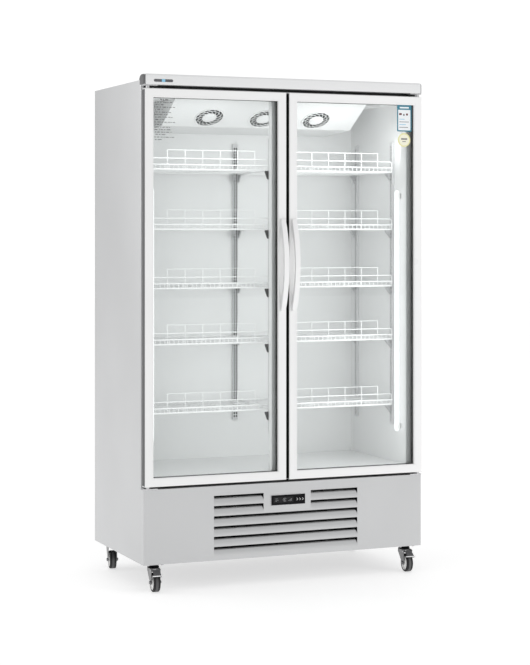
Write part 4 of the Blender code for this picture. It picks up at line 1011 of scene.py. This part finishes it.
def make_controller():
    """A black bezel in a slim bright rim, with a sunk display, plain printed marks and three keys."""
    node = "controller_housing"
    low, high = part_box(node)
    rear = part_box("louver_panel")[0].y - 0.0002
    front, rim, body_rim, gap = low.y, 0.0016, 0.0064, 0.0002
    bm = bmesh.new()
    ring = [(0, rear), (0, front + 0.0006), (0.0005, front), (rim, front), (rim, rear)]
    add_ring(bm, (low.x, high.x), (low.z, high.z), ring)
    piece("controller_rim", bm, MATERIALS["zinc_hardware"], "cabinet", slot="zinc_hardware")

    bm = bmesh.new()
    place = Matrix.Translation((0, front + gap, 0)) @ FRONT_PLACE
    window = (low.x + 0.012, low.x + 0.098, low.z + 0.010, high.z - 0.010)
    holes = [window]
    for name in KEY_NAMES:
        key_low, key_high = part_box(name)
        holes.append((key_low.x - gap, key_high.x + gap, key_low.z - gap, key_high.z + gap))
    edge = rim + 0.0001
    add_sheet(bm, place, (low.x + edge, high.x - edge, low.z + edge, high.z - edge), holes, 0.0020)
    start = (low.x + body_rim, front + 0.0034, low.z + body_rim)
    add_box(bm, start, (high.x - body_rim, high.y, high.z - body_rim), 0.0010)
    piece("controller_bezel", bm, MATERIALS["controller_black"], "cabinet", (node,))

    bm = bmesh.new()
    start = (window[0] + gap, front + 0.0008, window[2] + gap)
    add_box(bm, start, (window[1] - gap, front + 0.0029, window[3] - gap), 0.0002, 1)
    piece("controller_window", bm, DISPLAY, "cabinet", slot="controller_black")
    make_display_marks(window, front + 0.0008)
    for name in KEY_NAMES:
        make_key(name)


def make_display_marks(window, surface):
    """Dim, plain marks behind the window: a ring with three spokes and a few bars."""
    bm = bmesh.new()
    centre_z = (window[2] + window[3]) / 2
    centre_x = window[0] + 0.048
    y = surface - 0.00015
    for radius in (0.0072, 0.0038):
        ring = [(centre_x + a, y, centre_z + b) for a, b in arc((0, 0), radius, 20, 320, 24)]
        add_wire(bm, ring, 0.00045, 6)
    for angle in (90, 210, 330):
        a, b = math.cos(math.radians(angle)), math.sin(math.radians(angle))
        start = (centre_x + 0.0010 * a, y, centre_z + 0.0010 * b)
        add_wire(bm, [start, (centre_x + 0.0034 * a, y, centre_z + 0.0034 * b)], 0.0005, 6)
    for index, length in enumerate((0.010, 0.014, 0.007)):
        x = window[0] + 0.008
        z = centre_z + 0.005 - index * 0.005
        add_wire(bm, [(x, y, z), (x + length, y, z)], 0.0005, 6)
    for index in range(4):
        x = window[0] + 0.064 + index * 0.0045
        add_wire(bm, [(x, y, centre_z - 0.005), (x, y, centre_z - 0.003 + 0.0025 * index)], 0.0006, 6)
    piece("controller_marks", bm, MARK_GREY, "cabinet", slot="button_grey")


def make_key(name):
    """A soft-edged black key with a raised pale chevron."""
    low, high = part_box(name)
    bm = bmesh.new()
    add_box(bm, (low.x, low.y + 0.0001, low.z), (high.x, high.y - 0.0003, high.z), 0.0008, 3)
    piece(f"{name}_cap", bm, MATERIALS["controller_black"], name, (name,), slot="button_grey")
    bm = bmesh.new()
    centre = (low + high) / 2
    reach, rise = 0.0025, 0.0046
    path = [
        (centre.x - reach, low.y + 0.0002, centre.z + rise),
        (centre.x + reach, low.y + 0.0002, centre.z),
        (centre.x - reach, low.y + 0.0002, centre.z - rise),
    ]
    add_wire(bm, path, 0.0011, 8)
    piece(f"{name}_chevron", bm, CHEVRON, name, slot="button_grey")


# --- Casters -------------------------------------------------------------------------------

TYRE_HALF = 0.014
LEG_INNER = 0.0165
LEG_OUTER = 0.019
CROWN_Z = 0.090
PEDAL_REACH = 0.036


def caster_place(name):
    """The transform from a caster's own frame, trailing along -Y, to where it stands."""
    swivel = Vector(JOINTS[f"caster_{name}_swivel"]["pos_m"])
    across = Vector(JOINTS[f"caster_{name}_roll"]["axis"]).normalized()
    along = Vector((0, 0, 1)).cross(across)
    turn = Matrix((across, along, Vector((0, 0, 1)))).transposed().to_4x4()
    return Matrix.Translation((swivel.x, swivel.y, 0)) @ turn


def axle_at(name, place):
    axle = place.inverted() @ Vector(JOINTS[f"caster_{name}_roll"]["pos_m"])
    return axle.y, axle.z


def make_wheel(name, place, axle_y, axle_z):
    """A round-shouldered tyre with a raised tread band, on a dished hub."""
    body = f"caster_wheel_{name}"
    radius = axle_z
    centre = place @ Matrix.Translation((0, axle_y, axle_z)) @ Matrix.Rotation(math.radians(90), 4, "Y")
    band, groove, shoulder, low = 0.0050, 0.0008, 0.0055, 0.0002
    half = TYRE_HALF
    outer = [(radius - low - groove, band + 0.0006), (radius - low, band + 0.0014)]
    for r, h in arc((0, 0), shoulder, 0, 90, 5):
        outer.append((radius - low - shoulder + r, half - shoulder + h))
    outer += [(0.0298, half), (0.0290, half - 0.0012), (0.0285, half - 0.0014)]
    strip = [(radius - 0.0014, -band), (radius - low, -band), (radius, 0), (radius - low, band)]
    side = [(0.0285, half - 0.0010), (0.0250, half - 0.0008)]
    side += [(0.0235, half - 0.0036), (0.0125, half - 0.0036)]
    side += [(0.0115, half - 0.0010), (0.0085, half - 0.0008), (0.0045, half - 0.0008)]
    rings = (
        ("tyre", outer + [(r, -h) for r, h in outer[::-1]], 56, MATERIALS["tyre"], 50),
        ("tread", strip + [(radius - 0.0014, band)], 56, TREAD_GREY, 50),
        ("hub", side + [(r, -h) for r, h in side[::-1]], 48, HUB_WHITE, 40),
    )
    for label, profile, sides, material, sharp in rings:
        bm = bmesh.new()
        add_turned(bm, profile, centre, sides)
        replaced = (body,) if label == "tyre" else ()
        piece(f"{body}_{label}", bm, material, body, replaced, "tyre", sharp)


def add_hex(bm, place, radius, height):
    """A hexagonal bolt head or nut with a chamfered rim, standing on z = 0."""
    top = radius * 0.88
    add_turned(bm, [(0, 0), (radius, 0), (radius, height * 0.78), (top, height), (0, height)], place, 6)


def make_fork(name, place, axle_y, axle_z):
    """Raceways, crown, two legs with rounded ends and the axle bolt, on the swivel."""
    body = f"caster_swivel_{name}"
    bm = bmesh.new()
    top_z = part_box(f"caster_fork_{name}")[1].z
    race = [(0.006, CROWN_Z), (0.0225, CROWN_Z), (0.0232, CROWN_Z + 0.002), (0.0215, CROWN_Z + 0.0045)]
    race += [(0.0200, CROWN_Z + 0.0055), (0.0200, CROWN_Z + 0.0070), (0.0222, CROWN_Z + 0.0080)]
    race += [(0.0228, CROWN_Z + 0.0100), (0.0215, top_z), (0.006, top_z)]
    add_turned(bm, race, place, 40)
    piece(f"{body}_race", bm, MATERIALS["controller_black"], body, slot="zinc_hardware", sharp=40)
    bm = bmesh.new()
    turned_box(
        bm,
        place,
        (-LEG_OUTER, -PEDAL_REACH + 0.005, CROWN_Z - 0.0035),
        (LEG_OUTER, 0.022, CROWN_Z + 0.0008),
        0.0012,
    )
    boss = 0.0095
    heel, shoulder = 0.022, CROWN_Z - 0.014
    outline = [(heel - 0.004, CROWN_Z), (-PEDAL_REACH - 0.005, CROWN_Z), (-PEDAL_REACH - 0.005, shoulder)]
    outline += [(axle_y + y, axle_z + z) for y, z in arc((0, 0), boss, 195, 360, 10)]
    outline += [(heel - 0.006, shoulder - 0.004), (heel, shoulder), (heel, CROWN_Z - 0.004)]
    for x in (-LEG_OUTER, LEG_INNER):
        points = [place @ Vector((x, y, z)) for y, z in outline]
        across = place.to_3x3() @ Vector((LEG_OUTER - LEG_INNER, 0, 0))
        add_prism(bm, points, (0, 0, 0), across, 0.0005, 2)
    for side in (-1, 1):
        end = place @ Matrix.Translation((side * LEG_OUTER, axle_y, axle_z)) @ Matrix.Rotation(
            side * math.radians(90), 4, "Y"
        )
        add_turned(bm, [(0, 0), (0.0075, 0), (0.0075, 0.0008), (0, 0.0008)], end, 24)
        add_hex(bm, end @ Matrix.Translation((0, 0, 0.0008)), 0.0062, 0.0040)
    axle = [place @ Vector((side * LEG_OUTER, axle_y, axle_z)) for side in (-1, 1)]
    add_wire(bm, axle, 0.0039, 16)
    rivet = place @ Matrix.Translation((0, 0, CROWN_Z - 0.0035)) @ Matrix.Rotation(math.pi, 4, "X")
    add_turned(bm, [(0, 0), (0.0085, 0), (0.0078, 0.0022), (0.0040, 0.0034), (0, 0.0036)], rivet, 24)
    piece(f"{body}_fork", bm, FORK_ZINC, body, (f"caster_fork_{name}",), sharp=40)


def make_pedal(name, place):
    """A black foot brake with ribs on its tread, a bright front lip and a pin."""
    body = f"brake_pedal_{name}"
    pin = place.inverted() @ Vector(JOINTS[f"brake_{name}_press"]["pos_m"])
    at = place @ Matrix.Translation((0, pin.y, pin.z))
    half, length, drop, top = 0.0145, 0.036, 0.018, 0.0045
    slope = math.atan2(drop, length - 0.006)
    bm = bmesh.new()
    reach = math.hypot(drop, length - 0.006)
    tread = at @ Matrix.Translation((0, -0.006, top)) @ Matrix.Rotation(slope, 4, "X")
    turned_box(bm, tread, (-half, -reach, -0.002), (half, 0, 0), 0.0007)
    for index in range(4):
        y = -reach + 0.006 + index * 0.0055
        turned_box(bm, tread, (-half + 0.002, y, -0.0001), (half - 0.002, y + 0.0016, 0.0009), 0.0003)
    arm = [(0.004, -0.003), (0.004, top), (-0.008, top), (-0.014, -0.002), (-0.008, -0.004)]
    for x in (-half, half - 0.002):
        points = [at @ Vector((x, y, z)) for y, z in arm]
        add_prism(bm, points, (0, 0, 0), at.to_3x3() @ Vector((0.002, 0, 0)), 0.0004, 1)
    piece(f"{body}_tread", bm, PEDAL_AND_GAP_SHADE_GREY, body, (body,), slot="zinc_hardware")
    shoe = at @ Matrix.Translation((0, -length, top - drop))
    bm = bmesh.new()
    turned_box(bm, shoe, (-0.0175, 0.0008, -0.0068), (0.0175, 0.0042, -0.0008), 0.0008)
    piece(f"{body}_shoe", bm, MATERIALS["controller_black"], body, slot="controller_black")
    bm = bmesh.new()
    turned_box(bm, shoe, (-0.0205, -0.0010, -0.0040), (0.0205, 0.0008, 0.0002), 0.0007)
    ends = [at @ Vector((side * 0.0215, 0, 0)) for side in (-1, 1)]
    add_wire(bm, ends, 0.0024, 12)
    piece(f"{body}_lip", bm, BRIGHT_LIP, body, slot="zinc_hardware")


def make_casters():
    for name in ("front_left", "front_right", "rear_left", "rear_right"):
        place = caster_place(name)
        axle_y, axle_z = axle_at(name, place)
        make_wheel(name, place, axle_y, axle_z)
        make_fork(name, place, axle_y, axle_z)
        if name.startswith("front"):
            make_pedal(name, place)
        bm = bmesh.new()
        for x in (-0.029, 0.029):
            for y in (-0.023, 0.023):
                bolt = place.translation + Vector((x, y, 0.1035))
                down = Matrix.Translation(bolt) @ Matrix.Rotation(math.pi, 4, "X")
                add_hex(bm, down, 0.0058, 0.0036)
        piece(f"caster_bolts_{name}", bm, MATERIALS["zinc_hardware"], "cabinet", slot="zinc_hardware")


# --- Screws, labels and small trim ---------------------------------------------------------


BACK_INSET = 0.0008
AIR_SLOT = (0.200, 0.008)
AIR_ROWS = 6
AIR_PITCH = 0.030
AIR_LOW = 0.150
GLAND_AT = (-0.480, 0.180)


def make_back_panel():
    """The rear sheet with its air slots and a rubber gland, set in by a screw head's height."""
    node = "back_panel"
    low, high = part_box(node)
    x, z = GLAND_AT
    holes = [(x - 0.006, x + 0.006, z - 0.006, z + 0.006)]
    for column in (-0.150, 0.150):
        for row in range(AIR_ROWS):
            start = AIR_LOW + row * AIR_PITCH
            holes.append((column - AIR_SLOT[0] / 2, column + AIR_SLOT[0] / 2, start, start + AIR_SLOT[1]))
    bm = bmesh.new()
    face = high.y - BACK_INSET
    place = Matrix.Translation((0, face - PANEL, 0)) @ FRONT_PLACE
    add_sheet(bm, place, (low.x, high.x, low.z, high.z), holes, PANEL)
    piece("back_sheet", bm, MATERIALS["galvanised_sheet"], "cabinet", (node,), sharp=40)
    bm = bmesh.new()
    gland = facing((x, face, z), (0, 1, 0))
    rim = [(0.005, -0.012), (0.014, -0.012), (0.014, -0.0016), (0.0088, -0.0016), (0.0088, -0.0002)]
    rim += [(0.012, -0.0002), (0.0115, 0.0006), (0.0060, 0.0007), (0.005, 0.0002)]
    add_turned(bm, rim, gland, 28)
    piece("cable_gland", bm, MATERIALS["gasket"], "cabinet", slot="gasket")


def make_back_screws():
    """Low-head screws round the rear sheet."""
    low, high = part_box("back_panel")
    inset, head, columns, rows = 0.014, 0.0045, 7, 9
    xs = [low.x + inset + index * (high.x - low.x - 2 * inset) / (columns - 1) for index in range(columns)]
    zs = [low.z + inset + index * (high.z - low.z - 2 * inset) / (rows - 1) for index in range(rows)]
    spots = [(x, z) for x in xs for z in (zs[0], zs[-1])]
    spots += [(x, z) for x in (xs[0], xs[-1]) for z in zs[1:-1]]
    profile = [(0, 0), (head, 0), (head * 0.9, 0.0005), (head * 0.35, 0.0007), (0, 0.0004)]
    bm = bmesh.new()
    for x, z in spots:
        add_turned(bm, profile, facing((x, high.y - BACK_INSET, z), (0, 1, 0)), 16)
    piece("back_screws", bm, MATERIALS["zinc_hardware"], "cabinet", slot="zinc_hardware")


def add_label(name, x, z, y, thickness, corner, material, body="door_right"):
    """A thin sticker with rounded corners, facing the front."""
    low, high = (x[0] + corner, z[0] + corner), (x[1] - corner, z[1] - corner)
    outline = []
    for turn, centre in enumerate((high, (low[0], high[1]), low, (high[0], low[1]))):
        outline += [(a, y, b) for a, b in arc(centre, corner, 90 * turn, 90 * turn + 90, 4)]
    bm = bmesh.new()
    add_prism(bm, outline, (0, 0, 0), (0, thickness, 0))
    piece(name, bm, material, body, slot="glass")


def make_labels():
    """Plain stickers on the glass: coloured fields and bars, with no words, marks or pictures."""
    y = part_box("door_glass_right")[0].y - 0.0002
    film, backing = 0.00012, 0.00015

    def add_print(name, x, z, material, corner=0.001, layer=2.0):
        add_label(name, x, z, y - layer * film, film, corner, material)

    left, right, low, top = 0.4905, 0.5560, 1.8010, 1.9085
    add_label("rating_label_border", (left, right), (low, top), y, backing, 0.003, LABEL_TEAL)
    field = (left + 0.005, right - 0.005), (low + 0.005, top - 0.019)
    add_print("rating_label_field", *field, LABEL_WHITE, 0.002, 1)
    bars = (
        (0.14, 0.0121, 0.075, LABEL_RED),
        (0.42, 0.0066, 0.072, LABEL_GREY),
        (0.62, 0.0088, 0.074, LABEL_RED),
    )
    for index, (share, length, height, material) in enumerate(bars):
        x, z = left + (right - left) * share, low + height
        add_print(f"rating_label_bar_{index}", (x, x + length), (z - 0.008, z), material)
    for index, length in enumerate((0.040, 0.030, 0.044, 0.024)):
        x, z = left + 0.010, low + 0.016 + index * 0.011
        material = LABEL_BLUE if index % 2 else LABEL_GREY
        add_print(f"rating_label_line_{index}", (x, x + length), (z, z + 0.0025), material, 0.0005)
    heading = (left + 0.012, right - 0.012), (top - 0.013, top - 0.007)
    add_print("rating_label_heading", *heading, LABEL_WHITE, layer=1)

    x, z, radius = 0.5225, 1.7665, 0.0285
    discs = (("rim", radius, 0, LABEL_YELLOW), ("face", radius * 0.80, film, LABEL_CREAM))
    for name, r, offset, material in discs:
        bm = bmesh.new()
        place = facing((x, y + backing - offset, z), (0, -1, 0))
        add_turned(bm, [(0, 0), (r, 0), (r, backing), (0, backing)], place, 48)
        piece(f"round_label_{name}", bm, material, "door_right", slot="glass")
    add_print("round_label_bar", (x - 0.014, x + 0.014), (z + 0.001, z + 0.007), LABEL_GREY, layer=2.2)
    add_print("round_label_bar_low", (x - 0.008, x + 0.008), (z - 0.008, z - 0.005), LABEL_GREY, layer=2.2)
    make_notice(y)


def make_notice(y):
    """Rows of plain dashes of uneven length on clear film, on the left glass."""
    bm = bmesh.new()
    left, right, low, top = -0.5560, -0.4710, 1.7420, 1.9060
    rows = 17
    pitch = (top - low) / rows
    words = (0.008, 0.005, 0.012, 0.004, 0.009, 0.006, 0.015, 0.005, 0.010)
    line_ends = (0.058, 0.070, 0.040, 0.082, 0.030, 0.064)
    count = 0
    for row in range(rows):
        z = top - (row + 0.5) * pitch
        x = left + (0.024 if row == 0 else 0.001 + 0.002 * (row % 3))
        end = min(left + line_ends[row % len(line_ends)], right)
        height = 0.0019 if row == 0 else 0.0012
        while x < end:
            stop = min(x + words[count % len(words)], right)
            add_box(bm, (x, y, z - height), (stop, y + 0.00012, z + height))
            x = stop + 0.0032 + 0.0012 * (count % 3)
            count += 1
    piece("notice_dashes", bm, LABEL_INK, "door_left", slot="glass")


def make_ceiling_slots():
    """Three small slots in the ceiling beside the evaporator cover, drawn as flat black marks: painted shade of
    the openings.
    """
    bm = bmesh.new()
    ceiling = 1.918
    for index in range(3):
        x = 0.448 + index * 0.024
        outline = [(x + a, -0.092 + b, 0) for a, b in arc((0.0075, 0), 0.004, -90, 90, 6)]
        outline += [(x + a, -0.092 + b, 0) for a, b in arc((-0.0075, 0), 0.004, 90, 270, 6)]
        add_prism(bm, outline, (0, 0, ceiling - 0.0008), (0, 0, 0.0006))
    piece("ceiling_slots", bm, SHADOW_LINE, "cabinet", slot="fan_black")


def make_seam_shade_strips():
    """Black strips behind the gaps above, below and between the doors, on the cabinet front and the mullion:
    painted shade seen through the gaps.
    """
    bm = bmesh.new()
    cabinet_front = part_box("side_panel_left")[0].y
    mullion_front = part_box("center_mullion")[0].y
    low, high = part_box("door_frame_left")
    canopy_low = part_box("header_canopy")[0]
    base_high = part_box("louver_panel")[1]
    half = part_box("side_panel_right")[1].x - 0.012
    thick = 0.0022
    for z0, z1 in ((base_high.z + 0.0003, low.z - 0.0030), (high.z + 0.0055, canopy_low.z - 0.0003)):
        add_box(bm, (-half, cabinet_front - thick, z0), (half, cabinet_front - 0.0001, z1), 0.0004, 1)
    add_box(
        bm,
        (-0.0085, mullion_front - thick, low.z + 0.0008),
        (0.0085, mullion_front - 0.0001, high.z - 0.0008),
        0.0004,
        1,
    )
    piece("seam_shade_strips", bm, SEAM_SHADE_GREY, "cabinet", slot="gasket")


def make_fan_shade_discs():
    """A matt black ring behind each evaporator fan, round its motor: painted shade behind the rotor."""
    for position in ("left", "center", "right"):
        joint = JOINTS[f"evaporator_fan_{position}_spin"]
        low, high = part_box(f"evaporator_fan_{position}")
        axis = Vector(joint["axis"]).normalized()
        place = facing((low + high) / 2 + axis * 0.0090, axis)
        bm = bmesh.new()
        add_turned(bm, [(0.024, 0), (0.0575, 0), (0.0575, 0.0015), (0.024, 0.0015)], place, 40)
        piece(f"fan_shade_disc_{position}", bm, SHADOW_LINE, "cabinet", slot="fan_black")


def make_door_gap_shade_strips():
    """Dark strips down both sides of each door, seen through the gaps beside them: painted shade in the gaps."""
    for side_name, side in SIDES:
        low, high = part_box(f"door_frame_{side_name}")
        for x, outwards in ((low.x, -1), (high.x, 1)):
            bm = bmesh.new()
            x0, x1 = sorted((x - outwards * 0.0003, x + outwards * 0.0004))
            add_box(bm, (x0, low.y + 0.0045, low.z + 0.003), (x1, high.y - 0.0010, high.z - 0.003))
            hinged = outwards == side
            name = f"door_{side_name}_{'hinge' if hinged else 'meeting'}_strip"
            # Painted shade: grey in the gap by the side panel, near-black in the gap between the doors.
            finish = PEDAL_AND_GAP_SHADE_GREY if hinged else SHADOW_LINE
            piece(name, bm, finish, f"door_{side_name}", slot="gasket")


def make_vent_screen():
    """A dark fine screen just inside the rear sheet, behind its air slots."""
    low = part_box("back_panel")[0]
    bm = bmesh.new()
    for side in (-1, 1):
        x0, x1 = sorted((side * 0.040, side * 0.260))
        add_box(bm, (x0, low.y - 0.0018, 0.140), (x1, low.y - 0.0002, 0.318), 0.0004, 1)
    piece("vent_screens", bm, MATERIALS["fan_black"], "cabinet", slot="galvanised_sheet")


# Near-black for the strips behind the door gaps: painted shade.
SEAM_SHADE_GREY = painted("seam_shade_grey", (0.012, 0.012, 0.012), 0.8)
KEY_NAMES = ("button_set", "button_up", "button_down")
BADGE = painted("badge_plate", (0.10, 0.10, 0.11), 0.4)
BRIGHT_LIP = zinc_plate("bright_lip", (0.85, 0.85, 0.86), 0.22)
DISPLAY = painted("display_window", (0.004, 0.004, 0.005), 0.20, Specular_IOR_Level=0.3)
MARK_GREY = painted("mark_grey", (0.42, 0.43, 0.44), 0.5)
CHEVRON = painted("chevron_white", (0.80, 0.80, 0.80), 0.4)
LABEL_TEAL = painted("label_teal", (0.05, 0.22, 0.30), 0.35)
LABEL_WHITE = painted("label_white", (0.85, 0.88, 0.90), 0.35)
LABEL_BLUE = painted("label_blue", (0.25, 0.55, 0.75), 0.35)
LABEL_RED = painted("label_red", (0.16, 0.05, 0.05), 0.35)
LABEL_GREY = painted("label_grey", (0.20, 0.20, 0.21), 0.4)
LABEL_YELLOW = painted("label_yellow", (0.80, 0.78, 0.42), 0.35)
LABEL_CREAM = painted("label_cream", (0.88, 0.86, 0.70), 0.35)
LABEL_INK = painted("label_ink", (0.10, 0.10, 0.105), 0.45)

for side_name, side in SIDES:
    make_door(side_name, side)
    for position in ("front", "rear"):
        make_wall_standard(f"shelf_standard_{side_name}_{position}", side)
    make_lamp(side_name, side)
make_shelves()
make_center_standard()
make_mullion()
for position in ("left", "center", "right"):
    make_fan_grille(f"fan_grille_{position}", f"evaporator_fan_{position}")
    make_fan_rotor(f"evaporator_fan_{position}", 0.054, 0.017, 0.014, 5)
make_fan_rotor("condenser_fan", 0.092, 0.026, 0.022, 4)
make_canopy()
make_badge()
make_side_panels()
make_louver_panel()
make_controller()
make_casters()
make_back_panel()
make_back_screws()
make_labels()
make_ceiling_slots()
make_seam_shade_strips()
make_fan_shade_discs()
make_door_gap_shade_strips()
make_vent_screen()


# --- Finishes of the CAD nodes that show as they are ---------------------------------------

# The condenser coil is near-black: painted shade for the dark inside of the base, seen through the louvers.
OWN_FINISH = {"condenser_coil": SHADE_BLACK_FINS, "base_pan": DARK_PAN}

for node, obj in frame["nodes"].items():
    finish = OWN_FINISH.get(node, MATERIALS[SLOT_OF[node]])
    if obj.data.materials:
        for index in range(len(obj.data.materials)):
            obj.data.materials[index] = finish
    else:
        obj.data.materials.append(finish)


# --- Floor, light and camera ---------------------------------------------------------------


def make_floor():
    """A wide pale floor just under the wheels, which glows a little so that it stays white."""
    mesh = bpy.data.meshes.new("floor")
    size, low = 30.0, -0.0004
    corners = [(-size, -size, low), (size, -size, low), (size, size, low), (-size, size, low)]
    mesh.from_pydata(corners, [], [(0, 1, 2, 3)])
    glow = {"Emission_Color": (1, 1, 1, 1), "Emission_Strength": 0.60}
    mesh.materials.append(painted("floor_pale", (0.55, 0.55, 0.55), 0.7, **glow))
    in_scene("floor", mesh)


def area_light(name, location, target, size, power, size_y=None):
    data = bpy.data.lights.new(name, "AREA")
    data.shape = "RECTANGLE"
    data.size = size
    data.size_y = size_y or size
    data.energy = power
    lamp = in_scene(name, data)
    lamp.location = location
    direction = Vector(target) - Vector(location)
    lamp.rotation_euler = direction.to_track_quat("-Z", "Y").to_euler()
    return lamp


def make_world():
    """White behind everything, and a softer white dome as the light."""
    world = bpy.data.worlds.new("studio")
    bpy.context.scene.world = world
    world.use_nodes = True
    tree = world.node_tree
    tree.nodes.clear()
    seen, dome = (tree.nodes.new("ShaderNodeBackground") for _ in range(2))
    set_inputs(seen, Color=(1, 1, 1, 1), Strength=1.05)
    set_inputs(dome, Color=(1, 1, 1, 1), Strength=0.70)
    path = tree.nodes.new("ShaderNodeLightPath")
    mix = tree.nodes.new("ShaderNodeMixShader")
    output = tree.nodes.new("ShaderNodeOutputWorld")
    tree.links.new(path.outputs["Is Camera Ray"], mix.inputs["Fac"])
    tree.links.new(dome.outputs["Background"], mix.inputs[1])
    tree.links.new(seen.outputs["Background"], mix.inputs[2])
    tree.links.new(mix.outputs["Shader"], output.inputs["Surface"])


def make_camera():
    data = bpy.data.cameras.new("camera")
    data.sensor_width = 36.0
    data.lens = 96.82
    data.shift_y = -0.1482
    camera = in_scene("camera", data)
    camera.location = (-2.8191, -6.8087, 1.3826)
    camera.rotation_euler = (math.radians(90), 0, math.radians(-22.671))
    bpy.context.scene.camera = camera


make_floor()
make_world()
make_camera()
key = area_light("key", (2.6, -3.4, 1.6), (0.2, 0, 0.9), 1.2, 26)
key.visible_glossy = False
area_light("left_fill", (-4.2, 2.2, 2.2), (-0.6, 0, 1.3), 1.6, 34)
for side_name, side, power, top_power in (("left", -1, 1.8, 0.24), ("right", 1, 2.45, 0.36)):
    x = side * 0.29
    inside = area_light(f"inside_{side_name}", (x, -0.248, 1.17), (x, 0.3, 1.17), 0.50, power, 1.45)
    top = area_light(f"top_{side_name}", (x, -0.205, 1.735), (x, 0.3, 1.76), 0.50, top_power, 0.10)
    for lamp in (inside, top):
        lamp.visible_camera = False
        lamp.visible_glossy = False
bpy.context.scene.view_settings.view_transform = "Standard"
